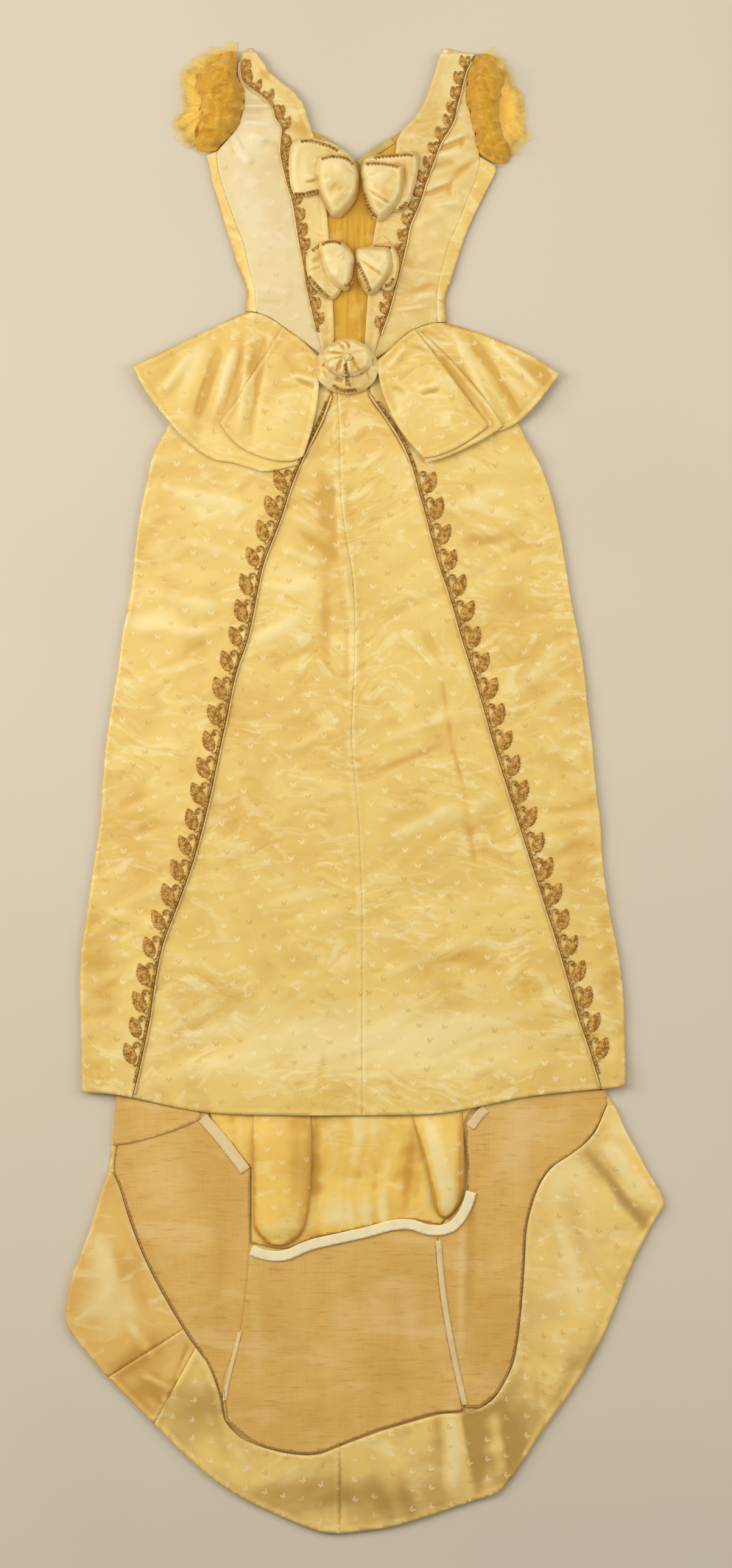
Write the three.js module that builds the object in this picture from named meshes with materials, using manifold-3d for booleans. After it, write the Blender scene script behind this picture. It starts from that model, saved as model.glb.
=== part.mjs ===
// Trained ball gown of gold figured satin, about 1890: boned bodice with a flared
// peplum, gored skirt and long round train. It lies on its back on a flat surface,
// neck towards +Y, train towards -Y, with the wrong side of the train turned up.
// Millimetres, +Z up out of the surface.
import * as THREE from 'three';
import { mergeVertices } from 'three/addons/utils/BufferGeometryUtils.js';
import Module from 'manifold-3d';

// ---- cloth thicknesses and clearances ----
const SATIN_WALL = 2.0; // satin, interlining and lining together
const BODICE_WALL = 2.4; // boned and lined satin
const CANVAS_WALL = 1.5; // stiffening linen
const TAPE_WALL = 1.1;
const FRILL_WALL = 1.1; // doubled tulle
const FRILL_TUCK = 6; // gathered edge, trimmed against the puff
const GAP = 0.3; // air between two pieces
const LAID_GAP = 0.55; // air under a piece that lies on curved cloth
const CORD_RADIUS = 1.5; // piping

// ---- heights of the layers, from the surface up ----
const BACK_RISE = 2.7; // skirt back where it lies on the back peplum
const FRONT_REST = 2.3; // underside of the skirt front at the side edges
const SEAM_STEP = 2.6; // side breadth lifted over the front breadth
const HEM_RISE = 3.4; // skirt front lifted by the train facing under its hem
const CHEST_REST = 2.8; // underside of the bodice front on the bodice back
const WAIST_RISE = 4.5; // bodice front lifted by the skirt inside it
const WAIST_REST = 7.4; // underside of the peplum at the waist seam
const ROSETTE_REST = 14.4;
const SEAM_DROP = 1.6; // peplum below the waist seam

// ---- levels along the gown ----
const SKIRT_TOP = 640; // skirt waist edge, inside the bodice
const HEM_LEVEL = -400; // last table row of the skirt, bent on to the hem line
const HEM_BEND = -300; // below this the rows bend towards the hem line
const WAIST_LEVEL = 600; // last table row of the bodice, bent on to the waist line
const WAIST_BEND = 680;
const SATIN_LEVEL = -600;
const SATIN_BEND = -500;
const CENTRE_BACK = -33;
const LEAF_TOP_LEFT = 404; // where the skirt braid comes out from the peplum
const LEAF_TOP_RIGHT = 404;

// ---- skirt: one row a level, x of the outer edge, braided seam and centre front ----
const SKIRT = [
  { y: 640, outL: -130, seamL: -38, mid: -30, seamR: -3, outR: 84 },
  { y: 600, outL: -149, seamL: -40, mid: -33, seamR: -1, outR: 93 },
  { y: 560, outL: -184, seamL: -41, mid: -35, seamR: 1, outR: 132 },
  { y: 520, outL: -228, seamL: -43, mid: -36, seamR: 5, outR: 172 },
  { y: 480, outL: -256, seamL: -58, mid: -34, seamR: 32, outR: 200 },
  { y: 440, outL: -277, seamL: -78, mid: -33, seamR: 55, outR: 222 },
  { y: 400, outL: -287, seamL: -95, mid: -32, seamR: 67, outR: 240 },
  { y: 350, outL: -297, seamL: -111, mid: -28, seamR: 81, outR: 253 },
  { y: 300, outL: -303, seamL: -131, mid: -19, seamR: 94, outR: 262 },
  { y: 250, outL: -308, seamL: -142, mid: -14, seamR: 111, outR: 270 },
  { y: 200, outL: -319, seamL: -152, mid: -13, seamR: 125, outR: 280 },
  { y: 150, outL: -325, seamL: -169, mid: -14, seamR: 141, outR: 288 },
  { y: 100, outL: -334, seamL: -179, mid: -17, seamR: 156, outR: 293 },
  { y: 50, outL: -341, seamL: -190, mid: -17, seamR: 170, outR: 299 },
  { y: 0, outL: -345, seamL: -200, mid: -12, seamR: 186, outR: 303 },
  { y: -50, outL: -348, seamL: -212, mid: -8, seamR: 202, outR: 309 },
  { y: -100, outL: -356, seamL: -226, mid: -6, seamR: 218, outR: 312 },
  { y: -150, outL: -363, seamL: -244, mid: -4, seamR: 234, outR: 319 },
  { y: -200, outL: -371, seamL: -263, mid: -4, seamR: 250, outR: 329 },
  { y: -250, outL: -374, seamL: -274, mid: -4, seamR: 265, outR: 337 },
  { y: -300, outL: -373, seamL: -281, mid: -4, seamR: 279, outR: 340 },
  { y: -350, outL: -372, seamL: -292, mid: -4, seamR: 295, outR: 341 },
  { y: -400, outL: -371, seamL: -303, mid: -4, seamR: 308, outR: 341 },
];

// hem of the skirt front, by x
const HEM = [
  { x: -371, y: -397 },
  { x: -325, y: -400 },
  { x: -250, y: -417 },
  { x: -200, y: -424 },
  { x: -100, y: -427 },
  { x: 50, y: -427 },
  { x: 100, y: -424 },
  { x: 150, y: -417 },
  { x: 200, y: -405 },
  { x: 250, y: -398 },
  { x: 300, y: -394 },
  { x: 341, y: -388 },
];

// ---- bodice fronts: armhole or side seam, piping line, inner edge of the revers ----
const BODICE_L = [
  { y: 968, edge: -164, pipe: -162, inner: -144 },
  { y: 955, edge: -166, pipe: -164, inner: -134 },
  { y: 943, edge: -167, pipe: -164, inner: -126 },
  { y: 930, edge: -164, pipe: -161, inner: -112 },
  { y: 922, edge: -161, pipe: -153, inner: -100 },
  { y: 914, edge: -158, pipe: -144, inner: -92 },
  { y: 904, edge: -158, pipe: -130, inner: -84 },
  { y: 893, edge: -160, pipe: -121, inner: -79 },
  { y: 880, edge: -163, pipe: -118, inner: -75 },
  { y: 868, edge: -168, pipe: -110, inner: -71 },
  { y: 852, edge: -181, pipe: -111, inner: -65 },
  { y: 838, edge: -194, pipe: -112, inner: -60 },
  { y: 805, edge: -190, pipe: -106, inner: -54 },
  { y: 785, edge: -184, pipe: -100, inner: -52 },
  { y: 765, edge: -177, pipe: -95, inner: -51 },
  { y: 740, edge: -168, pipe: -91, inner: -49 },
  { y: 715, edge: -158, pipe: -87, inner: -47 },
  { y: 690, edge: -153, pipe: -82, inner: -45 },
  { y: 660, edge: -147, pipe: -77, inner: -43 },
  { y: 640, edge: -144, pipe: -71, inner: -42 },
  { y: 620, edge: -143, pipe: -64, inner: -41 },
  { y: 600, edge: -142, pipe: -57, inner: -41 },
];
const BODICE_R = [
  { y: 966, edge: 150, pipe: 147, inner: 99 },
  { y: 950, edge: 140, pipe: 137, inner: 94 },
  { y: 938, edge: 135, pipe: 132, inner: 91 },
  { y: 925, edge: 133, pipe: 129, inner: 86 },
  { y: 905, edge: 133, pipe: 124, inner: 79 },
  { y: 890, edge: 137, pipe: 120, inner: 71 },
  { y: 875, edge: 141, pipe: 117, inner: 59 },
  { y: 860, edge: 144, pipe: 107, inner: 44 },
  { y: 845, edge: 147, pipe: 99, inner: 42 },
  { y: 832, edge: 150, pipe: 94, inner: 39 },
  { y: 815, edge: 149, pipe: 88, inner: 34 },
  { y: 800, edge: 144, pipe: 82, inner: 30 },
  { y: 785, edge: 138, pipe: 78, inner: 26 },
  { y: 765, edge: 130, pipe: 71, inner: 20 },
  { y: 740, edge: 120, pipe: 60, inner: 14 },
  { y: 715, edge: 109, pipe: 55, inner: 10 },
  { y: 690, edge: 102, pipe: 49, inner: 7 },
  { y: 660, edge: 96, pipe: 40, inner: 4 },
  { y: 640, edge: 94, pipe: 33, inner: 2 },
  { y: 620, edge: 94, pipe: 21, inner: 0 },
  { y: 600, edge: 95, pipe: 11, inner: -3 },
];

// ---- bodice sides: outer edge of the laid bodice below each armhole ----
const SIDE_L = [
  { y: 835, outer: -208 },
  { y: 823, outer: -204 },
  { y: 810, outer: -204 },
  { y: 782, outer: -195 },
  { y: 753, outer: -187 },
  { y: 730, outer: -180 },
  { y: 705, outer: -172 },
  { y: 675, outer: -164 },
  { y: 655, outer: -156 },
  { y: 640, outer: -155 },
  { y: 600, outer: -157 },
];
const SIDE_R = [
  { y: 824, outer: 171 },
  { y: 805, outer: 168 },
  { y: 790, outer: 160 },
  { y: 758, outer: 145 },
  { y: 732, outer: 133 },
  { y: 700, outer: 122 },
  { y: 680, outer: 117 },
  { y: 660, outer: 111 },
  { y: 640, outer: 105 },
  { y: 600, outer: 107 },
];

// waist seam of the bodice front, by x
const WAIST = [
  { x: -157, y: 628 },
  { x: -140, y: 626 },
  { x: -120, y: 617 },
  { x: -100, y: 602 },
  { x: -80, y: 588 },
  { x: -60, y: 568 },
  { x: -45, y: 566 },
  { x: 0, y: 561 },
  { x: 14, y: 562 },
  { x: 30, y: 576 },
  { x: 45, y: 590 },
  { x: 60, y: 602 },
  { x: 85, y: 612 },
  { x: 107, y: 614 },
];

// upper edge of the vest, by x: a shallow V
const VEST_TOP = [
  { x: -85, y: 868 },
  { x: -60, y: 860 },
  { x: -32, y: 843 },
  { x: -12, y: 824 },
  { x: 20, y: 846 },
  { x: 43, y: 861 },
  { x: 60, y: 872 },
];

// ---- peplum: one row a fold line, waist point, hem point, underside heights, bow ----
const FLARE_L = [
  { wx: -64, hx: -88, hy: 426, wz: 7.4, hz: 10.1, bow: 0 },
  { wx: -76, hx: -108, hy: 421, wz: 7.4, hz: 10.1, bow: 0 },
  { wx: -90, hx: -135, hy: 417, wz: 7.4, hz: 10.1, bow: 0 },
  { wx: -104, hx: -166, hy: 427, wz: 7.4, hz: 10.1, bow: 0 },
  { wx: -116, hx: -198, hy: 433, wz: 7.4, hz: 9.4, bow: 0 },
  { wx: -128, hx: -222, hy: 448, wz: 7.4, hz: 8.2, bow: 0 },
  { wx: -138, hx: -246, hy: 470, wz: 7.4, hz: 12.0, bow: 0 },
  { wx: -147, hx: -270, hy: 499, wz: 6.6, hz: 10.5, bow: 1 },
  { wx: -153, hx: -290, hy: 527, wz: 4.0, hz: 12.0, bow: 3 },
  { wx: -157, hx: -304, hy: 555, wz: 2.8, hz: 9.0, bow: 6 },
];
const FRONT_L = [
  { wx: -61.5, hx: -81, hy: 437, wz: 9.9, hz: 13.1, bow: 9 },
  { wx: -72, hx: -100, hy: 430, wz: 9.9, hz: 13.1, bow: 5 },
  { wx: -84, hx: -126, hy: 433, wz: 9.9, hz: 13.1, bow: 2 },
  { wx: -95, hx: -150, hy: 442, wz: 9.9, hz: 13.3, bow: 0 },
  { wx: -102, hx: -172, hy: 456, wz: 9.9, hz: 13.1, bow: 0 },
  { wx: -108, hx: -190, hy: 480, wz: 9.9, hz: 12.4, bow: 2 },
];
const FLARE_R = [
  { wx: 34, hx: 92, hy: 446, wz: 7.4, hz: 10.1, bow: 0 },
  { wx: 52, hx: 120, hy: 456, wz: 7.4, hz: 10.1, bow: 0 },
  { wx: 70, hx: 150, hy: 466, wz: 7.4, hz: 9.8, bow: 0 },
  { wx: 82, hx: 182, hy: 472, wz: 7.4, hz: 8.4, bow: 0 },
  { wx: 92, hx: 205, hy: 486, wz: 7.4, hz: 8.2, bow: 0 },
  { wx: 99, hx: 222, hy: 503, wz: 7.2, hz: 12.0, bow: 2 },
  { wx: 104, hx: 240, hy: 525, wz: 5.0, hz: 10.5, bow: 5 },
  { wx: 107, hx: 254, hy: 545, wz: 2.8, hz: 9.0, bow: 10 },
];
const MIDDLE_R = [
  { wx: 20, hx: 80, hy: 428, wz: 9.9, hz: 12.8, bow: -7 },
  { wx: 31, hx: 100, hy: 434, wz: 9.9, hz: 12.8, bow: -3 },
  { wx: 43, hx: 122, hy: 443, wz: 9.9, hz: 12.8, bow: 0 },
  { wx: 54, hx: 142, hy: 453, wz: 9.9, hz: 12.6, bow: 2 },
  { wx: 62, hx: 163, hy: 464, wz: 9.9, hz: 12.2, bow: 4 },
  { wx: 68, hx: 181, hy: 477, wz: 9.9, hz: 11.4, bow: 6 },
];
const FRONT_R = [
  { wx: 15, hx: 77, hy: 434, wz: 12.4, hz: 15.4, bow: -13 },
  { wx: 27, hx: 92, hy: 437, wz: 12.4, hz: 15.4, bow: -7 },
  { wx: 39, hx: 112, hy: 444, wz: 12.4, hz: 15.4, bow: -2 },
  { wx: 50, hx: 132, hy: 455, wz: 12.4, hz: 15.3, bow: 0 },
  { wx: 58, hx: 149, hy: 467, wz: 12.4, hz: 15.0, bow: 1 },
  { wx: 65, hx: 161, hy: 477, wz: 12.4, hz: 14.4, bow: 1 },
];
const PEPLUM_BACK = [
  { wx: -156, wy: 626.6, hx: -301, hy: 553, wz: 0, hz: 0, bow: 5 },
  { wx: -148, wy: 626.2, hx: -268, hy: 502, wz: 0, hz: 0, bow: 0 },
  { wx: -130, wy: 625.3, hx: -225, hy: 455, wz: 0, hz: 0, bow: 0 },
  { wx: -105, wy: 624.1, hx: -165, hy: 436, wz: 0, hz: 0, bow: 0 },
  { wx: -70, wy: 622.4, hx: -95, hy: 436, wz: 0, hz: 0, bow: 0 },
  { wx: -24, wy: 620.1, hx: -20, hy: 437, wz: 0, hz: 0, bow: 0 },
  { wx: 30, wy: 617.4, hx: 60, hy: 438, wz: 0, hz: 0, bow: 0 },
  { wx: 65, wy: 615.7, hx: 120, hy: 463, wz: 0, hz: 0, bow: 0 },
  { wx: 85, wy: 614.7, hx: 175, hy: 478, wz: 0, hz: 0, bow: 0 },
  { wx: 98, wy: 614, hx: 220, hy: 508, wz: 0, hz: 0, bow: 2 },
  { wx: 106, wy: 613.5, hx: 251, hy: 543, wz: 0, hz: 0, bow: 8 },
];

// ---- train: outer edge and inner edge of its facing, from the hem to centre back ----
const TRAIN_L = [
  { x: -326, y: -398, ix: -322, iy: -396 },
  { x: -329, y: -432, ix: -325, iy: -432 },
  { x: -333, y: -468, ix: -329, iy: -468 },
  { x: -336, y: -500, ix: -332, iy: -502 },
  { x: -345, y: -525, ix: -323, iy: -521 },
  { x: -362, y: -580, ix: -307, iy: -572 },
  { x: -385, y: -640, ix: -284, iy: -627 },
  { x: -394, y: -690, ix: -257, iy: -677 },
  { x: -387, y: -712, ix: -245, iy: -697 },
  { x: -338, y: -772, ix: -238, iy: -708 },
  { x: -318, y: -792, ix: -231, iy: -720 },
  { x: -277, y: -833, ix: -222, iy: -732 },
  { x: -240, y: -870, ix: -206, iy: -755 },
  { x: -200, y: -905, ix: -192, iy: -792 },
  { x: -160, y: -931, ix: -184, iy: -828 },
  { x: -120, y: -950, ix: -160, iy: -853 },
  { x: -80, y: -967, ix: -105, iy: -871 },
  { x: -55, y: -975, ix: -62, iy: -873 },
  { x: -33, y: -977, ix: -33, iy: -862 },
];
const TRAIN_R = [
  { x: 314, y: -396, ix: 310, iy: -396 },
  { x: 327, y: -414, ix: 318, iy: -414 },
  { x: 343, y: -450, ix: 303, iy: -447 },
  { x: 355, y: -471, ix: 288, iy: -465 },
  { x: 372, y: -503, ix: 268, iy: -480 },
  { x: 388, y: -528, ix: 246, iy: -495 },
  { x: 393, y: -545, ix: 233, iy: -511 },
  { x: 375, y: -575, ix: 222, iy: -535 },
  { x: 352, y: -620, ix: 212, iy: -575 },
  { x: 330, y: -675, ix: 208, iy: -640 },
  { x: 305, y: -733, ix: 203, iy: -700 },
  { x: 270, y: -790, ix: 196, iy: -748 },
  { x: 235, y: -838, ix: 184, iy: -776 },
  { x: 208, y: -880, ix: 168, iy: -800 },
  { x: 190, y: -906, ix: 150, iy: -812 },
  { x: 172, y: -924, ix: 128, iy: -818 },
  { x: 140, y: -935, ix: 102, iy: -819 },
  { x: 80, y: -955, ix: 60, iy: -830 },
  { x: 30, y: -969, ix: 15, iy: -844 },
  { x: -33, y: -977, ix: -33, iy: -862 },
];
const PIECING_A = 9; // table rows where the left facing is pieced
const PIECING_B = 11;

// ---- stiffening canvas inside the train ----
const CANVAS_L = [
  { y: -392, right: -206 },
  { y: -432, right: -204 },
  { y: -465, right: -178 },
  { y: -497, right: -152 },
  { y: -520, right: -151.5 },
  { y: -598, right: -151.5 },
];
const CANVAS_FOLD = [
  { y: -590, fold: -151 },
  { y: -650, fold: -155 },
  { y: -690, fold: -160 },
  { y: -720, fold: -165 },
  { y: -745, fold: -176 },
  { y: -770, fold: -184 },
  { y: -800, fold: -189 },
  { y: -835, fold: -181 },
];
const FOLD_TUCK = 11; // left canvas running on under the folded edge
const CANVAS_R = [
  { y: -392, left: 164 },
  { y: -412, left: 156 },
  { y: -440, left: 134 },
  { y: -500, left: 135 },
  { y: -530, left: 132.5 },
  { y: -548, left: 124 },
  { y: -568, left: 104 },
  { y: -580, left: 96 },
  { y: -650, left: 101 },
  { y: -710, left: 110 },
  { y: -760, left: 120 },
  { y: -790, left: 127 },
  { y: -812, left: 132 },
];
// upper edge of the centre canvas, and the gathered satin it stops against, by x
const CANVAS_TOP = [
  { x: -152, y: -594 },
  { x: -130, y: -602 },
  { x: -110, y: -603 },
  { x: -90, y: -597 },
  { x: -70, y: -589 },
  { x: -50, y: -585 },
  { x: 0, y: -575 },
  { x: 50, y: -564 },
  { x: 75, y: -569 },
  { x: 100, y: -571 },
  { x: 120, y: -560 },
  { x: 134, y: -545 },
];
const SATIN_SIDES = [
  { y: -398, left: -204, right: 160 },
  { y: -432, left: -202, right: 131 },
  { y: -465, left: -176, right: 129 },
  { y: -497, left: -149, right: 131 },
  { y: -530, left: -149, right: 127 },
  { y: -560, left: -149, right: 112 },
  { y: -600, left: -149, right: 100 },
];
// gathered back pleats: one row a section, edges and height
const PLEAT_L = [
  { y: -414, left: -146, right: -72, high: 1.8 },
  { y: -430, left: -147, right: -71, high: 2.6 },
  { y: -460, left: -147, right: -70, high: 9.5 },
  { y: -500, left: -147, right: -71, high: 12 },
  { y: -545, left: -147, right: -74, high: 12.5 },
  { y: -575, left: -146, right: -80, high: 11.5 },
  { y: -590, left: -139, right: -88, high: 9.0 },
  { y: -598, left: -126, right: -100, high: 5.0 },
];
const PLEAT_R = [
  { y: -412, left: 60, right: 127, high: 1.8 },
  { y: -430, left: 62, right: 128, high: 2.6 },
  { y: -460, left: 71, right: 129, high: 9.5 },
  { y: -500, left: 81, right: 130, high: 12.5 },
  { y: -530, left: 87, right: 127, high: 12 },
  { y: -550, left: 91, right: 119, high: 10 },
  { y: -562, left: 97, right: 110, high: 6.0 },
];
// tapes: centre line and width
const TAPE_CENTRE = [
  { x: -149, y: -604 },
  { x: -137, y: -609 },
  { x: -120, y: -612 },
  { x: -104, y: -611 },
  { x: -88, y: -604 },
  { x: -70, y: -597 },
  { x: -40, y: -590 },
  { x: 0, y: -581 },
  { x: 40, y: -571 },
  { x: 62, y: -571 },
  { x: 80, y: -577 },
  { x: 98, y: -578 },
  { x: 114, y: -573 },
  { x: 126, y: -560 },
  { x: 134, y: -545 },
  { x: 139, y: -528 },
];
const TAPE_LEFT = [
  { x: -213, y: -431 },
  { x: -190, y: -457 },
  { x: -157, y: -500 },
];
const TAPE_RIGHT = [
  { x: 158, y: -419 },
  { x: 148, y: -429 },
  { x: 138, y: -443 },
];
const SEAM_TAPE_RIGHT = [
  { x: 96, y: -592 },
  { x: 101, y: -650 },
  { x: 110, y: -710 },
  { x: 120, y: -760 },
  { x: 131, y: -808 },
];
const FLAP_EDGE = [
  { x: -330, y: -467 },
  { x: -300, y: -462 },
  { x: -250, y: -447 },
  { x: -216, y: -432 },
];

// ---- sleeves: gathered tulle heaps, outline once round, and their frills ----
const PUFF_L = [
  [-168.8, 945], [-168.8, 965], [-178.8, 967], [-198.8, 958], [-218.8, 943], [-223.8, 922],
  [-215.8, 905], [-217.8, 888], [-219.8, 870], [-221.8, 856], [-221.8, 845], [-212.8, 838],
  [-201.8, 839], [-193.8, 842], [-184.8, 851], [-175.8, 860], [-168.8, 870], [-163.8, 882],
  [-160.8, 894], [-158.8, 905], [-159.8, 916], [-166.8, 930],
];
const PUFF_R = [
  [151, 965], [165, 961], [176, 948], [182, 938], [183, 922], [180, 905],
  [178, 880], [182, 865], [185, 850], [189, 841], [191, 833], [187, 826],
  [180, 821], [171, 825.5], [162, 828], [152, 835], [148.5, 846], [145.5, 860],
  [142.5, 875], [138.5, 890], [134.5, 905], [135, 928], [137, 940], [142.5, 953],
];
const FRILL_L = [
  { ix: -172, iy: 970, x: -174, y: 977 },
  { ix: -182, iy: 969, x: -190, y: 977 },
  { ix: -202, iy: 960, x: -212, y: 967 },
  { ix: -214, iy: 953, x: -229, y: 956 },
  { ix: -224, iy: 943, x: -240, y: 932 },
  { ix: -228, iy: 922, x: -243, y: 915 },
  { ix: -220, iy: 905, x: -241, y: 892 },
  { ix: -222, iy: 888, x: -249, y: 875 },
  { ix: -224, iy: 870, x: -246, y: 860 },
  { ix: -226, iy: 856, x: -240, y: 850 },
  { ix: -227, iy: 845, x: -233, y: 842 },
];
const FRILL_R = [
  { ix: 155, iy: 967.5, x: 160, y: 971 },
  { ix: 168, iy: 964, x: 174, y: 965 },
  { ix: 180, iy: 950, x: 188, y: 946 },
  { ix: 186, iy: 938, x: 198, y: 930 },
  { ix: 187, iy: 922, x: 206, y: 912 },
  { ix: 184, iy: 905, x: 208, y: 893 },
  { ix: 182, iy: 880, x: 210, y: 874 },
  { ix: 186, iy: 865, x: 213, y: 860 },
  { ix: 189, iy: 850, x: 209, y: 848 },
  { ix: 193, iy: 841, x: 201, y: 840 },
];

// ---- bows: each loop is a folded heap with a pointed outline ----
const LOOPS = {
  upper_left_back: {
    outline: [
      [-96, 847], [-81, 854], [-60, 852], [-41, 847], [-28, 838], [-16, 826],
      [-14, 808], [-22, 794], [-45, 785], [-68, 781], [-91, 777], [-99, 806], [-99, 832],
    ],
    centre: [-62, 816], from: [-6, 802], rim: 5, high: 8.5, creases: 4, over: [],
  },
  upper_right_back: {
    outline: [
      [-2, 827], [16, 832], [44, 834], [67, 836], [69, 813], [64, 789],
      [56, 767], [46, 759], [37, 756], [24, 768], [4, 798], [-3, 812],
    ],
    centre: [40, 802], from: [-8, 800], rim: 5, high: 8.5, creases: 4, over: [],
  },
  upper_left_front: {
    outline: [
      [-60, 830], [-40, 834], [-24, 831], [-14, 823], [-8.4, 811], [-7.6, 792],
      [-11, 776], [-25, 757], [-39, 747], [-51, 762], [-60, 779], [-64, 802],
    ],
    centre: [-35, 794], from: [-8, 803], rim: 10, high: 23, creases: 5,
    over: ['upper_left_back'],
  },
  upper_right_front: {
    outline: [
      [-5.6, 820], [1, 824], [24, 823], [50, 819], [52, 805], [51, 792],
      [48, 775], [34, 756], [18, 743], [6, 757], [0, 774], [-4.6, 794],
    ],
    centre: [23, 790], from: [-5, 803], rim: 10, high: 23, creases: 6,
    over: ['upper_right_back'],
  },
  lower_left_back: {
    outline: [
      [-73, 710], [-60, 717], [-40, 717], [-20, 706], [-19, 690], [-28, 662],
      [-44, 640], [-56, 649], [-68, 659], [-75, 674], [-77, 692],
    ],
    centre: [-49, 682], from: [-14, 700], rim: 4.5, high: 7.5, creases: 3, over: [],
  },
  lower_right_back: {
    outline: [
      [4, 712], [20, 716], [33, 716], [42, 704], [45, 692], [43, 676],
      [39, 661], [31, 652], [20, 658], [4, 690],
    ],
    centre: [26, 686], from: [-12, 700], rim: 4.5, high: 7.5, creases: 3, over: [],
  },
  lower_left_front: {
    outline: [
      [-60, 717], [-47, 722], [-33, 720], [-21, 711], [-14.6, 701], [-14, 688],
      [-17, 671], [-23, 652], [-37, 658], [-48, 670], [-56, 686], [-60, 704],
    ],
    centre: [-36, 689], from: [-14, 700], rim: 9, high: 19, creases: 5,
    over: ['lower_left_back'],
  },
  lower_right_front: {
    outline: [
      [-12, 710], [-3, 712], [14, 711], [32, 709], [35.5, 697], [35, 683],
      [28, 668], [19, 656], [6, 646], [-2, 655], [-9, 667], [-11.6, 690],
    ],
    centre: [12, 683], from: [-12, 701], rim: 9, high: 19, creases: 6,
    over: ['lower_right_back'],
  },
};

// ---- rosette at the point of the waist ----
const ROSETTE = {
  ring: { x: -24, y: 553, rx: 41, ry: 34, rim: 4, high: 7.5, folds: 12, depth: 1.6 },
  cap: { x: -23, y: 565, rx: 32, ry: 24, rim: 3, high: 9, folds: 10, depth: 2.0 },
  knot: { x: -23, y: 565, rx: 8, ry: 7, rim: 2, high: 4.5, folds: 4, depth: 0.5 },
};

// ---- metal braid edging with leaves ----
const SKIRT_BRAID = { braid: 7, leaf: 31, slant: 0.42, pitch: 36, crest: 3.0, edge: 1.3 };
const BODICE_BRAID = { braid: 5, leaf: 19, slant: 0.3, pitch: 20, crest: 2.4, edge: 1.2 };

const PAINT = {
  satin: { color: 0xe6c97d, roughness: 0.38, metalness: 0.05 },
  pale_satin: { color: 0xeedcae, roughness: 0.38, metalness: 0.05 },
  plain_satin: { color: 0xe0b970, roughness: 0.35, metalness: 0.05 },
  vest: { color: 0xc99a35, roughness: 0.65, metalness: 0 },
  neck_band: { color: 0xb8a45a, roughness: 0.7, metalness: 0 },
  tulle: { color: 0xdcab42, roughness: 0.85, metalness: 0 },
  braid: { color: 0x8a6a24, roughness: 0.42, metalness: 0.7 },
  cord: { color: 0xead9a8, roughness: 0.5, metalness: 0 },
  canvas: { color: 0xc9a672, roughness: 0.9, metalness: 0 },
  tape: { color: 0xeadcb8, roughness: 0.8, metalness: 0 },
};

const gown = new THREE.Group();
gown.name = 'ball_gown';

const { lerp, smoothstep } = THREE.MathUtils;
const step = (value, from, to) => smoothstep(value, from, to);

// ---------------------------------------------------------------- reading tables

// Smooth curve through one column of a table.
function column(table, key, along = 'y') {
  const rows = [...table].sort((a, b) => a[along] - b[along]);
  const at = rows.map((row) => row[along]);
  const value = rows.map((row) => row[key]);
  const last = rows.length - 1;
  const slope = rows.map((row, i) => {
    const a = Math.max(i - 1, 0);
    const b = Math.min(i + 1, last);
    return (value[b] - value[a]) / (at[b] - at[a]);
  });
  return (where) => {
    const p = Math.min(Math.max(where, at[0]), at[last]);
    let i = 0;
    while (i < last - 1 && p > at[i + 1]) i += 1;
    const span = at[i + 1] - at[i];
    const t = (p - at[i]) / span;
    const h = t * t * (3 - 2 * t);
    const bulgeA = t * (1 - t) * (1 - t) * span * slope[i];
    const bulgeB = t * t * (1 - t) * span * slope[i + 1];
    return value[i] * (1 - h) + value[i + 1] * h + bulgeA - bulgeB;
  };
}

// Evenly spaced points along a smooth curve through a table's x and y.
function along(table, count, x = 'x', y = 'y') {
  const points = table.map((row) => new THREE.Vector3(row[x], row[y], 0));
  const curve = new THREE.CatmullRomCurve3(points, false, 'centripetal');
  return curve.getSpacedPoints(count - 1).map((p) => [p.x, p.y]);
}

const spread = (from, to, count) =>
  Array.from({ length: count }, (_, i) => lerp(from, to, i / (count - 1)));

const hemLine = column(HEM, 'y', 'x');
const waistLine = column(WAIST, 'y', 'x');
const vestLine = column(VEST_TOP, 'y', 'x');
const canvasLine = column(CANVAS_TOP, 'y', 'x');

// Stretch the levels beyond `from` so that level `to` falls on a line.
const bend = (y, from, to, target) =>
  ((to - from) * (y - from) <= 0 ? y : from + ((y - from) * (target - from)) / (to - from));
const toHem = (x, y) => bend(y, HEM_BEND, HEM_LEVEL, hemLine(x));
const toWaist = (x, y) => bend(y, WAIST_BEND, WAIST_LEVEL, waistLine(x));
const straight = (x, y) => y;

// ---------------------------------------------------------------- making solids

function paint(slot) {
  return new THREE.MeshStandardMaterial({ name: slot, ...PAINT[slot] });
}

function addMesh(name, slot, geometry) {
  const mesh = new THREE.Mesh(geometry, paint(slot));
  mesh.name = name;
  gown.add(mesh);
  return mesh;
}

// Closed surface from points and triangles, turned to face out.
function closed(points, faces) {
  let volume = 0;
  for (const [a, b, c] of faces) {
    const [p, q, r] = [points[a], points[b], points[c]];
    volume += p[0] * (q[1] * r[2] - q[2] * r[1]);
    volume += p[1] * (q[2] * r[0] - q[0] * r[2]);
    volume += p[2] * (q[0] * r[1] - q[1] * r[0]);
  }
  const turned = volume < 0 ? faces.map(([a, b, c]) => [a, c, b]) : faces;
  const geometry = new THREE.BufferGeometry();
  geometry.setAttribute('position', new THREE.Float32BufferAttribute(points.flat(), 3));
  geometry.setIndex(turned.flat());
  geometry.computeVertexNormals();
  return geometry;
}

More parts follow.
